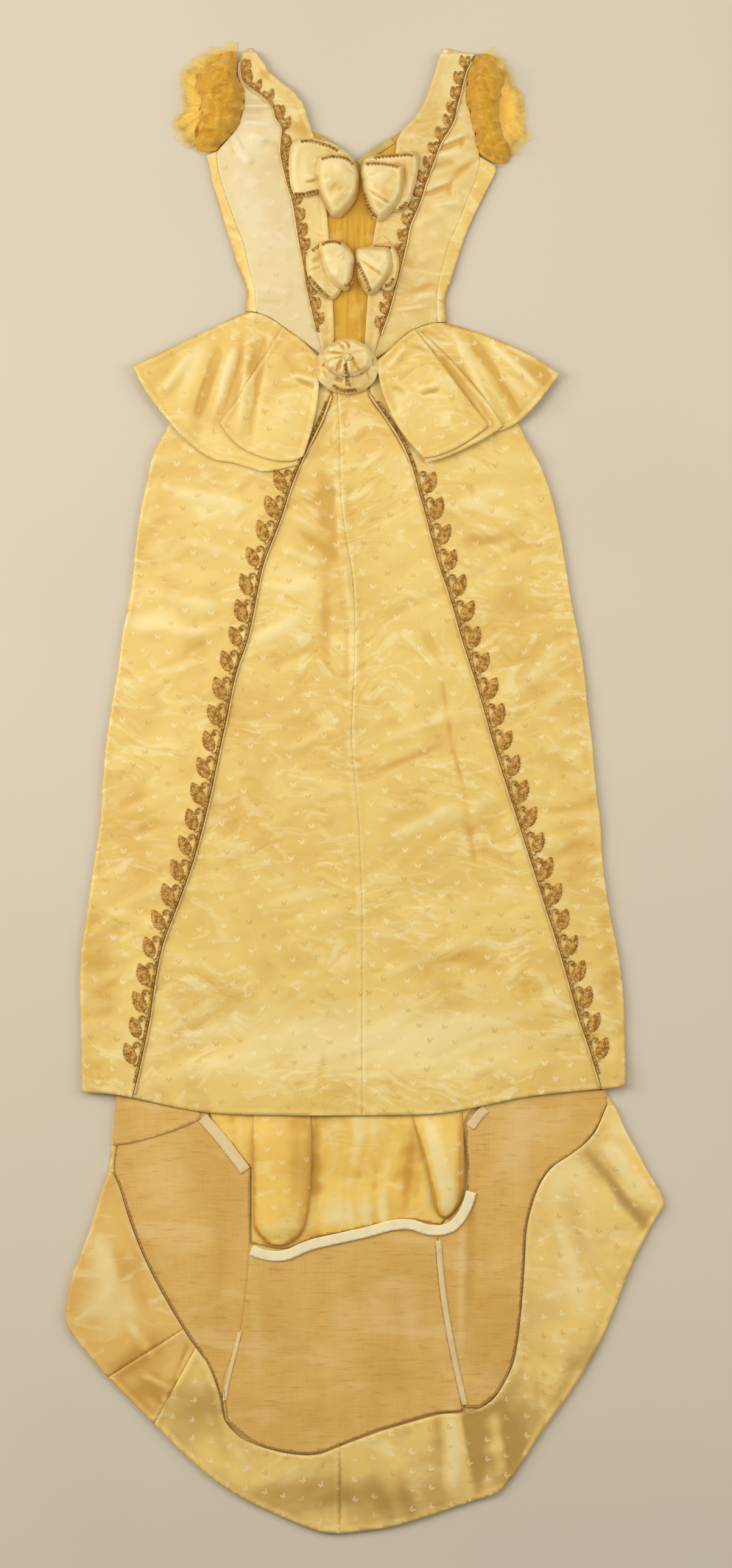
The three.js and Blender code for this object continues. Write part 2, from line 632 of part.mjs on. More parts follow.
// Sheet of cloth between an upper and a lower grid of points.
function gridSolid(name, slot, upper, lower) {
  const rows = upper.length;
  const cols = upper[0].length;
  const points = [...upper.flat(), ...lower.flat()];
  const faces = [];
  const up = (i, j) => i * cols + j;
  const down = (i, j) => rows * cols + i * cols + j;
  const quad = (a, b, c, d) => faces.push([a, b, c], [a, c, d]);
  for (let i = 0; i < rows - 1; i += 1) {
    for (let j = 0; j < cols - 1; j += 1) {
      quad(up(i, j), up(i + 1, j), up(i + 1, j + 1), up(i, j + 1));
      quad(down(i, j), down(i, j + 1), down(i + 1, j + 1), down(i + 1, j));
    }
    quad(up(i, 0), down(i, 0), down(i + 1, 0), up(i + 1, 0));
    quad(up(i, cols - 1), up(i + 1, cols - 1), down(i + 1, cols - 1), down(i, cols - 1));
  }
  for (let j = 0; j < cols - 1; j += 1) {
    quad(up(0, j), up(0, j + 1), down(0, j + 1), down(0, j));
    quad(up(rows - 1, j), down(rows - 1, j), down(rows - 1, j + 1), up(rows - 1, j + 1));
  }
  return addMesh(name, slot, closed(points, faces));
}

// Cloth panel: levels down the gown, shares across between two edges.
function panel({ name, slot, levels, left, right, across, place = straight, under, wall }) {
  const upper = [];
  const lower = [];
  for (const level of levels) {
    const flat = across.map((u) => {
      const x = lerp(left(level), right(level), u);
      return [x, place(x, level), u];
    });
    lower.push(flat.map(([x, y, u]) => [x, y, under(x, y, u)]));
    upper.push(flat.map(([x, y, u]) => [x, y, under(x, y, u) + (wall.call ? wall(x, y, u) : wall)]));
  }
  return gridSolid(name, slot, upper, lower);
}

// Flared cloth: each fold line runs from the waist seam to the hem.
function fan(name, slot, table, count, steps, wall) {
  const numbered = table.map((row, i) => ({ wy: waistLine(row.wx) - SEAM_DROP, ...row, at: i }));
  const read = (key) => column(numbered, key, 'at');
  const [wx, wy, hx, hy, wz, hz, bow] = ['wx', 'wy', 'hx', 'hy', 'wz', 'hz', 'bow'].map(read);
  const shares = spread(0, 1, steps);
  const lower = spread(0, table.length - 1, count).map((k) =>
    shares.map((v) => {
      const belly = 4 * v * (1 - v) * bow(k);
      const x = lerp(wx(k), hx(k), v) + belly * 0.9;
      const y = lerp(wy(k), hy(k), v) + Math.abs(belly) * 0.4 * Math.sign(bow(k));
      return [x, y, lerp(wz(k), hz(k), v)];
    }));
  const upper = lower.map((row) => row.map(([x, y, z]) => [x, y, z + wall]));
  return gridSolid(name, slot, upper, lower);
}

// Ribbon of even width along a centre line.
function ribbon(name, slot, table, count, width, under, wall) {
  const path = along(table, count);
  const lower = path.map(([x, y], i) => {
    const [ax, ay] = path[Math.max(i - 1, 0)];
    const [bx, by] = path[Math.min(i + 1, count - 1)];
    const length = Math.hypot(bx - ax, by - ay);
    const nx = -(by - ay) / length;
    const ny = (bx - ax) / length;
    return [-0.5, 0.5].map((side) => {
      const px = x + nx * width * side;
      const py = y + ny * width * side;
      return [px, py, under(px, py)];
    });
  });
  const upper = lower.map((row) => row.map(([x, y, z]) => [x, y, z + wall]));
  return gridSolid(name, slot, upper, lower);
}

// Round cord along a path of points.
function cord(name, slot, path, radius) {
  const sides = 4;
  const points = [];
  const faces = [];
  path.forEach(([x, y, z], i) => {
    const [ax, ay] = path[Math.max(i - 1, 0)];
    const [bx, by] = path[Math.min(i + 1, path.length - 1)];
    const length = Math.hypot(bx - ax, by - ay);
    const nx = -(by - ay) / length;
    const ny = (bx - ax) / length;
    for (let k = 0; k < sides; k += 1) {
      const angle = (2 * Math.PI * k) / sides;
      const out = radius * Math.cos(angle);
      points.push([x + nx * out, y + ny * out, z + radius * Math.sin(angle)]);
    }
  });
  for (let i = 0; i < path.length - 1; i += 1) {
    for (let k = 0; k < sides; k += 1) {
      const next = (k + 1) % sides;
      const [a, b] = [i * sides + k, i * sides + next];
      faces.push([a, b, b + sides], [a, b + sides, a + sides]);
    }
  }
  const last = (path.length - 1) * sides;
  for (let k = 1; k < sides - 1; k += 1) {
    faces.push([0, k + 1, k], [last, last + k, last + k + 1]);
  }
  return addMesh(name, slot, closed(points, faces));
}

// Flat piece with straight walls, from its outline.
function slab(name, slot, outline, base, wall) {
  const shape = new THREE.Shape(outline.map(([x, y]) => new THREE.Vector2(x, y)));
  const extruded = new THREE.ExtrudeGeometry(shape, { depth: wall, bevelEnabled: false, steps: 1 });
  extruded.deleteAttribute('uv');
  extruded.deleteAttribute('normal');
  const geometry = mergeVertices(extruded, 1e-3);
  geometry.translate(0, 0, base);
  geometry.computeVertexNormals();
  return addMesh(name, slot, geometry);
}

// Rounded heap of folded cloth: rings from the rim up to its middle.
function heapGeometry(heap, grow = 0) {
  const { outline, centre, base, rim, high, crease } = heap;
  const rings = [
    { reach: 0.95, rise: 0 },
    { reach: 1.0, rise: rim * 0.6 },
    { reach: 0.98, rise: rim },
    { reach: 0.8, rise: lerp(rim, high, 0.68) },
    { reach: 0.42, rise: lerp(rim, high, 0.97) },
  ];
  const count = outline.length;
  const [cx, cy] = centre;
  const place = ([x, y], reach, rise) => {
    const length = Math.hypot(x - cx, y - cy);
    const share = reach + grow / length;
    const px = cx + (x - cx) * share;
    const py = cy + (y - cy) * share;
    const lift = rise > 0 ? grow + crease(px, py, reach) * Math.min(1, rise / high) : -grow;
    return [px, py, base(px, py) + rise + lift];
  };
  const points = rings.flatMap(({ reach, rise }) => outline.map((p) => place(p, reach, rise)));
  const faces = [];
  for (let i = 0; i < rings.length - 1; i += 1) {
    for (let k = 0; k < count; k += 1) {
      const next = (k + 1) % count;
      const [a, b] = [i * count + k, i * count + next];
      faces.push([a, b, b + count], [a, b + count, a + count]);
    }
  }
  const foot = points.length;
  points.push([cx, cy, base(cx, cy) - grow]);
  const head = points.length;
  points.push([cx, cy, base(cx, cy) + high * 0.98 + grow]);
  const top = (rings.length - 1) * count;
  for (let k = 0; k < count; k += 1) {
    const next = (k + 1) % count;
    faces.push([foot, next, k], [head, top + k, top + next]);
  }
  return closed(points, faces);
}

// Evenly spaced closed outline through corner points.
function rounded(corners, count) {
  const points = corners.map(([x, y]) => new THREE.Vector3(x, y, 0));
  const curve = new THREE.CatmullRomCurve3(points, true, 'centripetal');
  return curve.getSpacedPoints(count).slice(0, count).map((p) => [p.x, p.y]);
}

const wasm = await Module();
wasm.setup();

function toManifold(geometry) {
  return new wasm.Manifold(new wasm.Mesh({
    numProp: 3,
    vertProperties: new Float32Array(geometry.getAttribute('position').array),
    triVerts: new Uint32Array(geometry.getIndex().array),
  }));
}

function fromManifold(solid) {
  const mesh = solid.getMesh();
  const geometry = new THREE.BufferGeometry();
  geometry.setAttribute('position', new THREE.BufferAttribute(mesh.vertProperties, 3));
  geometry.setIndex(new THREE.BufferAttribute(mesh.triVerts, 1));
  geometry.computeVertexNormals();
  return geometry;
}

// The one body that a cut leaves, without slivers.
function largest(solid) {
  const [body] = solid.decompose().sort((a, b) => b.volume() - a.volume());
  return fromManifold(body);
}

// ---------------------------------------------------------------- shape of the cloth

const skirt = {};
for (const key of ['outL', 'seamL', 'mid', 'seamR', 'outR']) skirt[key] = column(SKIRT, key);
const bodiceL = {};
const bodiceR = {};
for (const key of ['edge', 'pipe', 'inner']) {
  bodiceL[key] = column(BODICE_L, key);
  bodiceR[key] = column(BODICE_R, key);
}
const sideL = column(SIDE_L, 'outer');
const sideR = column(SIDE_R, 'outer');

const bell = (x, y, cx, cy, rx, ry) => Math.exp(-(((x - cx) / rx) ** 2) - (((y - cy) / ry) ** 2));

// Soft folds of the skirt front; none at its side edges or under the peplum.
function skirtFolds(x, y) {
  const out = Math.min(x - skirt.outL(y), skirt.outR(y) - x);
  const fade = step(out, 0, 70) * (1 - step(y, 380, 450)) * step(y, -440, -250);
  const diagonal = Math.sin((x * 0.62 + y) / 34) * step(y, -250, 300);
  const fall = Math.sin((x + 40) / 46);
  return fade * (1.35 + 0.35 * diagonal + 0.75 * fall);
}

// Height added to the skirt front by what lies under it.
const peplumUnder = (y) => BACK_RISE * step(y, 405, 430);
function hemUnder(x, y) {
  const pleats = bell(x, y, -108, -428, 58, 50) + bell(x, y, 94, -428, 56, 50);
  return HEM_RISE * (1 - step(y, -380, -325)) + 2.6 * pleats;
}
const frontUnder = (x, y) => FRONT_REST + peplumUnder(y) + hemUnder(x, y) + skirtFolds(x, y);

// Side breadth: laid over the front breadth beside the braided seam.
const overSeam = (distance, y) => SEAM_STEP * (1 - step(distance, 18, 60)) * (1 - step(y, 430, 465));
const seamDistance = (x, y) => (x < skirt.mid(y) ? skirt.seamL(y) - x : x - skirt.seamR(y));
const sideUnder = (x, y) => frontUnder(x, y) + overSeam(Math.max(seamDistance(x, y), 0), y);

// Bodice front: resting on the back at the chest, on the skirt at the waist.
const chestRest = (y) => CHEST_REST + WAIST_RISE * (1 - step(y, 645, 740));
const bust = (x, y) => 2.4 * (bell(x, y, -152, 790, 46, 62) + bell(x, y, 118, 782, 44, 62));
const bodiceUnder = (x, y) => chestRest(y) + bust(x, y);
const reversUnder = (x, y) => bodiceUnder(x, y) + BODICE_WALL + GAP;
const reversOver = (x, y) => reversUnder(x, y) + SATIN_WALL;

// ---------------------------------------------------------------- skirt and train back

function backSheet(name, table, tops, outer) {
  const upperRows = tops.map((y) => ({ x: outer(y), y, middle: y }));
  const trainRows = table.map((row, i) => ({
    x: row.x,
    y: row.y,
    middle: lerp(table[0].y, table[table.length - 1].y, (i / (table.length - 1)) ** 0.9),
  }));
  const sign = Math.sign(table[0].x);
  const lower = [...upperRows, ...trainRows].map((row) => {
    const centre = [CENTRE_BACK + sign * GAP * 0.5, row.middle];
    return [0, 1].map((u) => {
      const x = lerp(row.x, centre[0], u);
      const y = lerp(row.y, centre[1], u);
      return [x, y, BACK_RISE * step(y, 405, 430)];
    });
  });
  const upper = lower.map((row) => row.map(([x, y, z]) => [x, y, z + SATIN_WALL]));
  return gridSolid(name, 'satin', upper, lower);
}
const backLevels = [639, 600, 560, 520, 480, 432, 424, 417, 410, 403, 300, 200, 100, 0, -100, -200, -300, -345, -375];
const inset = 1.2;
backSheet('skirt_back_left', TRAIN_L, backLevels, (y) => Math.min(skirt.outL(y) + inset + 40 * (1 - step(y, -395, -340)), 0));
backSheet('skirt_back_right', TRAIN_R, backLevels, (y) => skirt.outR(y) - inset - 24 * (1 - step(y, -395, -340)));

// ---------------------------------------------------------------- inside of the train

const FACING_REST = SATIN_WALL + GAP;

// Soft rise of the facing: a fold at the right corner and a furrow below the canvas.
function facingUnder(x, y) {
  const corner = 2.6 * bell(x, y, 322, -512, 34, 44);
  const furrow = 1.6 * bell(x, y, 168, -870, 20, 60) + 1.2 * bell(x, y, 100, -890, 18, 50);
  const leftFold = 1.8 * bell(x, y, -350, -650, 18, 60);
  return FACING_REST + corner + furrow + leftFold;
}

function facing(name, slot, table, first, last) {
  const rows = table.slice(first, last + 1);
  const shares = [0, 0.45, 1];
  const lower = rows.map((row, i) => {
    const end = i === 0 ? 1 : rows.length - 2;
    const atEnd = i === 0 || i === rows.length - 1;
    return shares.map((u) => {
      let x = lerp(row.x, row.ix, 0.004 + u * 0.99);
      let y = lerp(row.y, row.iy, 0.004 + u * 0.99);
      if (atEnd) {
        const ox = lerp(rows[end].x, rows[end].ix, u) - x;
        const oy = lerp(rows[end].y, rows[end].iy, u) - y;
        const far = Math.hypot(ox, oy);
        x += (ox * GAP * 0.8) / far;
        y += (oy * GAP * 0.8) / far;
      }
      return [x, y, facingUnder(x, y)];
    });
  });
  const upper = lower.map((row) => row.map(([x, y, z]) => [x, y, z + SATIN_WALL]));
  return gridSolid(name, slot, upper, lower);
}
facing('train_facing_left_upper', 'plain_satin', TRAIN_L, 3, PIECING_A);
facing('train_facing_left_gusset', 'plain_satin', TRAIN_L, PIECING_A, PIECING_B);
facing('train_facing_left', 'satin', TRAIN_L, PIECING_B, TRAIN_L.length - 1);
facing('train_facing_right', 'satin', TRAIN_R, 1, TRAIN_R.length - 1);

const facingInnerL = column(TRAIN_L.slice(0, 15), 'ix', 'iy');
const facingInnerR = column(TRAIN_R.slice(1, 16), 'ix', 'iy');
const foldEdge = column(CANVAS_FOLD, 'fold');
const canvasTopEdge = column(CANVAS_L, 'right');
const canvasLeftEdge = (y) => (y > -605 ? canvasTopEdge(y) : foldEdge(y) + FOLD_TUCK);
const canvasRightEdge = column(CANVAS_R, 'left');
const canvasOver = FACING_REST + CANVAS_WALL;

panel({
  name: 'canvas_left',
  slot: 'canvas',
  levels: [-392, -432, -465, -497, -520, -550, -598, -612, -650, -700, -740, -770, -796],
  left: (y) => facingInnerL(y) + 1.6,
  right: canvasLeftEdge,
  across: [0, 0.5, 1],
  under: () => FACING_REST,
  wall: CANVAS_WALL,
});

// Centre canvas: its left edge is folded over the left canvas.
const foldLift = (distance) => (CANVAS_WALL + GAP) * (1 - step(distance, 24, 75));
const centreFoot = column([
  ...TRAIN_L.slice(14).map(({ ix, iy }) => ({ x: ix, y: iy })),
  ...TRAIN_R.slice(14, 19).map(({ ix, iy }) => ({ x: ix, y: iy })),
], 'y', 'x');
function centreCanvas() {
  const rows = [0, 0.14, 0.32, 0.55, 0.78, 1];
  const lower = spread(0, 1, 9).map((u) =>
    rows.map((v) => {
      const topY = canvasLine(lerp(-151, 95, u)) - 3;
      const footY = centreFoot(lerp(-182, 130.5, u)) + 2.4;
      const y = lerp(topY, footY, v);
      const x = lerp(foldEdge(y), canvasRightEdge(y) - 2.4, u);
      return [x, y, FACING_REST + foldLift(x - foldEdge(y))];
    }));
  const upper = lower.map((row) => row.map(([x, y, z]) => [x, y, z + CANVAS_WALL]));
  return gridSolid('canvas_centre', 'canvas', upper, lower);
}
centreCanvas();

panel({
  name: 'canvas_right',
  slot: 'canvas',
  levels: [-394, -412, -428, -447, -465, -480, -495, -511, -530, -548, -568, -582, -650, -710, -760, -790, -811],
  left: canvasRightEdge,
  right: (y) => facingInnerR(y) - 1.8,
  across: [0, 0.5, 1],
  under: () => FACING_REST,
  wall: CANVAS_WALL,
});

const satinLeft = column(SATIN_SIDES, 'left');
const satinRight = column(SATIN_SIDES, 'right');
panel({
  name: 'back_gathers',
  slot: 'satin',
  levels: [-398, -420, -440, -465, -497, -530, -565, SATIN_LEVEL],
  left: (y) => satinLeft(y) + 0.4,
  right: (y) => satinRight(y) - 0.4,
  across: spread(0, 1, 7),
  place: (x, y) => bend(y, SATIN_BEND, SATIN_LEVEL, canvasLine(x) + 0.4),
  under: () => FACING_REST,
  wall: SATIN_WALL - 0.2,
});

// Rolled back pleat: a rounded roll of satin lying on the gathers.
function pleat(name, table) {
  const rest = FACING_REST + SATIN_WALL - 0.2 + GAP;
  const shares = spread(0, 1, 6);
  const read = (key) => column(table, key);
  const [left, right, high] = ['left', 'right', 'high'].map(read);
  const levels = spread(table[0].y, table[table.length - 1].y, 10);
  const upper = levels.map((y) => shares.map((u) => {
    const arch = Math.sin(Math.PI * lerp(0.09, 0.91, u)) ** 0.75;
    return [lerp(left(y), right(y), u), y, rest + high(y) * arch];
  }));
  const lower = upper.map((row) => row.map(([x, y]) => [x, y, rest]));
  return gridSolid(name, 'satin', upper, lower);
}
pleat('back_pleat_left', PLEAT_L);
pleat('back_pleat_right', PLEAT_R);

const tapeRest = canvasOver + CANVAS_WALL + 2 * GAP;
ribbon('canvas_tape_centre', 'tape', TAPE_CENTRE, 26, 13, () => tapeRest, TAPE_WALL);
ribbon('canvas_tape_left', 'tape', TAPE_LEFT, 4, 14, () => canvasOver + GAP, TAPE_WALL);
ribbon('canvas_tape_right', 'tape', TAPE_RIGHT, 4, 12, () => canvasOver + GAP, TAPE_WALL);
ribbon('canvas_seam_tape_right', 'tape', SEAM_TAPE_RIGHT, 7, 7, () => canvasOver + GAP, TAPE_WALL);

const flapEdge = column(FLAP_EDGE, 'y', 'x');
const flapRun = spread(-331, -217, 7);
slab('canvas_flap', 'canvas', [
  ...flapRun.map((x) => [x, flapEdge(x)]),
  ...[...flapRun].reverse().map((x) => [Math.max(x, -325), hemLine(x) + 9 * step(x, -217, -240)]),
], canvasOver + GAP, 1.2);

// ---------------------------------------------------------------- skirt front

const skirtLevels = [
  SKIRT_TOP, 600, 560, 520, 480, 464, 447, 430, 417, 404, 370, 330, 290, 250, 205, 160, 110, 60,
  10, -45, -100, -155, -210, -260, -305, -335, -360, -382, HEM_LEVEL,
];
const SEAM_CLEAR = CORD_RADIUS + 1.3;
// how far the front breadth runs on under the side breadth
const tuckUnder = (y) => lerp(12, -1.4, step(y, 416, 430));

panel({
  name: 'skirt_front_left',
  slot: 'satin',
  levels: skirtLevels,
  left: (y) => skirt.seamL(y) - tuckUnder(y),
  right: (y) => skirt.mid(y) - GAP / 2,
  across: [0, 0.33, 0.67, 1],
  place: toHem,
  under: frontUnder,
  wall: SATIN_WALL,
});
panel({
  name: 'skirt_front_right',
  slot: 'satin',
  levels: skirtLevels,
  left: (y) => skirt.mid(y) + GAP / 2,
  right: (y) => skirt.seamR(y) + tuckUnder(y),
  across: [0, 0.33, 0.67, 1],
  place: toHem,
  under: frontUnder,
  wall: SATIN_WALL,
});

const sideShares = [0, 0.13, 0.27, 0.5, 0.75, 1];
panel({
  name: 'skirt_side_left',
  slot: 'satin',
  levels: skirtLevels,
  left: (y) => skirt.seamL(y) - SEAM_CLEAR,
  right: skirt.outL,
  across: sideShares,
  place: toHem,
  under: sideUnder,
  wall: SATIN_WALL,
});
panel({
  name: 'skirt_side_right',
  slot: 'satin',
  levels: skirtLevels,
  left: (y) => skirt.seamR(y) + SEAM_CLEAR,
  right: skirt.outR,
  across: sideShares,
  place: toHem,
  under: sideUnder,
  wall: SATIN_WALL,
});

// Levels spaced evenly along a line of the gown.
function evenLevels(line, from, to, count) {
  const fine = spread(from, to, 400);
  const run = [0];
  for (let i = 1; i < fine.length; i += 1) {
    const dx = line(fine[i]) - line(fine[i - 1]);
    run.push(run[i - 1] + Math.hypot(dx, fine[i] - fine[i - 1]));
  }
  const whole = run[run.length - 1];
  return spread(0, whole, count).map((want) => {
    const i = run.findIndex((length) => length >= want - 1e-6);
    return fine[i];
  });
}
const runLength = (line, from, to) => {
  const fine = spread(from, to, 200);
  return fine.slice(1).reduce((sum, y, i) => sum + Math.hypot(y - fine[i], line(y) - line(fine[i])), 0);
};

function skirtCord(name, seam, top) {
  const path = evenLevels(seam, top, HEM_LEVEL + 2, 29).map((level) => {
    const x = seam(level);
    const y = toHem(x, level);
    return [x, y, frontUnder(x, y) + SATIN_WALL + LAID_GAP * 1.6 + CORD_RADIUS];
  });
  return cord(name, 'cord', path, CORD_RADIUS);
}
skirtCord('skirt_piping_left', skirt.seamL, 517);
skirtCord('skirt_piping_right', skirt.seamR, 517);

// Braid edging: a flat braid along a seam with slanting leaves on its outer side.
function leafBraid({ name, line, side, from, to, size, place, rest }) {
  const leaves = Math.round(runLength(line, from, to) / size.pitch);
  const perLeaf = 4;
  const levels = evenLevels(line, from, to, leaves * perLeaf + 1);
  const lobes = [0, 0.82, 1, 0.66];
  const lower = [];
  const upper = [];
  levels.forEach((level, i) => {
    const lobe = lobes[i % perLeaf];
    const reach = size.braid + (size.leaf - size.braid) * lobe;
    const marks = [0, reach * 0.52, reach];
    const heights = [size.edge, size.crest * (0.6 + 0.4 * lobe), size.edge];
    const flat = marks.map((out) => {
      const x = line(level) + side * (SEAM_CLEAR + GAP + out);
      const y = place(x, level) + size.slant * out;
      return [x, y, rest(x, y) + LAID_GAP];
    });
    lower.push(flat);
    upper.push(flat.map(([x, y, z], k) => [x, y, z + heights[k]]));
  });
  return gridSolid(name, 'braid', upper, lower);
}
const sideOver = (x, y) => sideUnder(x, y) + SATIN_WALL;
const LEAF_FOOT = 14;
leafBraid({
  name: 'skirt_leaf_braid_left',
  line: skirt.seamL,
  side: -1,
  from: LEAF_TOP_LEFT,
  to: HEM_LEVEL + LEAF_FOOT,
  size: SKIRT_BRAID,
  place: toHem,
  rest: sideOver,
});
leafBraid({
  name: 'skirt_leaf_braid_right',
  line: skirt.seamR,
  side: 1,
  from: LEAF_TOP_RIGHT,
  to: HEM_LEVEL + LEAF_FOOT,
  size: SKIRT_BRAID,
  place: toHem,
  rest: sideOver,
});

// ---------------------------------------------------------------- peplum

fan('peplum_back', 'satin', PEPLUM_BACK, 13, 3, SATIN_WALL);
fan('peplum_left_flare', 'satin', FLARE_L, 15, 5, SATIN_WALL);
fan('peplum_left_front', 'satin', FRONT_L, 8, 5, SATIN_WALL);
fan('peplum_right_flare', 'satin', FLARE_R, 13, 5, SATIN_WALL);
fan('peplum_right_middle', 'satin', MIDDLE_R, 8, 5, SATIN_WALL);
fan('peplum_right_front', 'satin', FRONT_R, 8, 5, SATIN_WALL);

// ---------------------------------------------------------------- bodice

const reversWidth = (side, y) => Math.abs(side.inner(y) - side.pipe(y));
const tuckFront = (side, y) => Math.min(14, 0.4 * reversWidth(side, y));
const tuckVest = (side, y) => Math.min(12, 0.4 * reversWidth(side, y));
const frontLevels = [
  955, 943, 930, 918, 904, 893, 880, 868, 852, 838, 820, 795, 770, 740, 715, 690, 665, 640, 620,
  WAIST_LEVEL,
];
const sideLevels = frontLevels.filter((y) => y <= 820);

function bodiceHalf({ word, side, outer, sign, slot, shoulder, topSide, slope }) {
  panel({
    name: `bodice_front_${word}`,
    slot,
    levels: frontLevels,
    left: side.edge,
    right: (y) => side.pipe(y) - sign * tuckFront(side, y),
    across: [0, 0.22, 0.45, 0.72, 1],
    place: toWaist,
    under: bodiceUnder,
    wall: BODICE_WALL,
  });
  panel({
    name: `bodice_side_${word}`,
    slot: 'satin',
    levels: [topSide, ...sideLevels],
    left: (y) => side.edge(y) + sign * (GAP + 0.3),
    right: outer,
    across: [0, 0.5, 1],
    place: (x, y) => toWaist(x, y) - slope * step(y, 790, topSide) * Math.abs(x - side.edge(y)),
    under: (x, y, u) => lerp(bodiceUnder(x, y), CHEST_REST, u * u),
    wall: BODICE_WALL,
  });
  panel({
    name: `revers_${word}`,
    slot: 'pale_satin',
    levels: [...shoulder, ...frontLevels.slice(1)],
    left: (y) => side.pipe(y) - sign * SEAM_CLEAR,
    right: side.inner,
    across: [0, 0.5, 1],
    place: toWaist,
    under: reversUnder,
    wall: SATIN_WALL,
  });
  const line = (y) => side.pipe(y);
  const path = frontLevels.slice(0, -1).map((level) => {
    const x = line(level);
    const y = toWaist(x, level);
    return [x, y, bodiceUnder(x, y) + BODICE_WALL + LAID_GAP + CORD_RADIUS];
  });
  cord(`bodice_piping_${word}`, 'cord', path, CORD_RADIUS);
  leafBraid({
    name: `bodice_leaf_braid_${word}`,
    line,
    side: -sign,
    from: 950,
    to: WAIST_LEVEL + 18,
    size: BODICE_BRAID,
    place: toWaist,
    rest: reversOver,
  });
}
bodiceHalf({
  word: 'left',
  side: bodiceL,
  outer: sideL,
  sign: -1,
  slot: 'pale_satin',
  shoulder: [968, 955],
  topSide: 838,
  slope: 0.4,
});
bodiceHalf({
  word: 'right',
  side: bodiceR,
  outer: sideR,
  sign: 1,
  slot: 'satin',
  shoulder: [966, 955],
  topSide: 831,
  slope: 0.6,
});

// Vest of gathered silk between the revers.
const VEST_RIBS = 12;
const vestLeft = (y) => bodiceL.inner(y) - tuckVest(bodiceL, y);
const vestRight = (y) => bodiceR.inner(y) + tuckVest(bodiceR, y);
panel({
  name: 'vest',
  slot: 'vest',
  levels: [860, 815, 740, 695, 650, WAIST_LEVEL],
  left: vestLeft,
  right: vestRight,
  across: spread(0, 1, VEST_RIBS * 2 + 1),
  place: (x, y) => bend(toWaist(x, y), 780, 860, vestLine(x)),
  under: bodiceUnder,
  wall: (x, y, u) => 1.75 - 0.25 * Math.cos(2 * Math.PI * VEST_RIBS * u),
});
const bandRest = (x, y) => bodiceUnder(x, y) + SATIN_WALL + LAID_GAP;
ribbon('neck_band_left', 'neck_band', [
  { x: -58, y: 854 },
  { x: -36, y: 841 },
  { x: -16, y: 822 },
], 6, 7, bandRest, TAPE_WALL);
ribbon('neck_band_right', 'neck_band', [
  { x: -8, y: 821 },
  { x: 14, y: 838 },
  { x: 36, y: 852 },
], 6, 9, bandRest, TAPE_WALL);

// Bodice back: one flat piece, its neck following the fronts.
function bodiceBack() {
  const sideRun = [640, 660, 690, 720, 750, 780, 805, 820, 832];
  const armRun = [838, 845, 852, 860, 868, 880, 893, 904, 916, 930, 943, 955];
  const neckRun = [955, 943, 930, 922, 914, 904, 893, 880, 868];
  const vRun = [-58, -36, -12, 12, 34];
  const edge = 1;
  slab('bodice_back', 'satin', [
    [-156, 628],
    ...sideRun.map((y) => [sideL(y) + edge, y]),
    ...armRun.map((y) => [bodiceL.edge(y) + edge, y]),
    [-163, 966],
    [-150, 974],
    [-140, 962],
    ...neckRun.map((y) => [bodiceL.inner(y) - edge * 3, y]),
    ...vRun.map((x) => [x, vestLine(x) - 5]),
    ...[...neckRun].reverse().map((y) => [bodiceR.inner(y) + edge * 3, y]),
    [103, 974],
    [125, 969],
    [147, 962],
    ...[...armRun].reverse().slice(1).map((y) => [bodiceR.edge(y) - edge, y]),
    ...[...sideRun].reverse().slice(2).map((y) => [sideR(y) - edge, y]),
    [106, 615.5],
  ], 0, BODICE_WALL);
}
bodiceBack();

// ---------------------------------------------------------------- sleeves

const puffHeaps = {};
function puff(word, corners, centre, from) {
  const crease = (x, y, reach) => {
    const angle = Math.atan2(y - from[1], x - from[0]);
    return 1.5 * reach * Math.sin(angle * 13) + 0.8 * Math.sin((x + y) / 4.5);
  };
  const outline = rounded(corners, 25);
  puffHeaps[word] = { outline, centre, base: () => 0, rim: 9, high: 27, crease };
  addMesh(`sleeve_puff_${word}`, 'tulle', heapGeometry(puffHeaps[word]));
}
puff('left', PUFF_L, [-193, 900], [-150, 890]);
puff('right', PUFF_R, [162, 892], [120, 880]);

// Ruffled tulle edge: waves growing from the gathering line to the free edge.
function frill(word, table, waves) {
  const perWave = 3;
  const count = waves * perWave + 1;
  const inner = along(table, count, 'ix', 'iy');
  const outer = along(table, count);
  const shares = [0, 1];
  const lower = inner.map(([ix, iy], i) => {
    const phase = (2 * Math.PI * i) / perWave + 0.6;
    const [ox, oy] = outer[i];
    return shares.map((u) => {
      const jag = 1 + 0.09 * Math.sin(phase * 0.5 + 1) * u;
      const share = u ? jag : -FRILL_TUCK / Math.hypot(ox - ix, oy - iy);
      const x = lerp(ix, ox, share);
      const y = lerp(iy, oy, share);
      return [x, y, 5.5 + u * (3.6 * Math.sin(phase) + 2.5)];
    });
  });
  const upper = lower.map((row) => row.map(([x, y, z]) => [x, y, z + FRILL_WALL]));
  const mesh = gridSolid(`sleeve_frill_${word}`, 'tulle', upper, lower);
  const puffed = toManifold(heapGeometry(puffHeaps[word], GAP));
  mesh.geometry = largest(toManifold(mesh.geometry).subtract(puffed));
}
frill('left', FRILL_L, 10);
frill('right', FRILL_R, 9);

// ---------------------------------------------------------------- bows and rosette

// The bows lie on the vest in the middle and on revers and braid further out.
function bowRest(x, y) {
  const left = bodiceL.pipe(y);
  const right = bodiceR.pipe(y);
  const middle = (left + right) / 2;
  const out = Math.abs(x - middle) / ((right - left) / 2);
  return bodiceUnder(x, y) + 4.2 + 0.85 * step(out, 0.1, 0.33) + 3.7 * step(out, 0.5, 0.66);
}

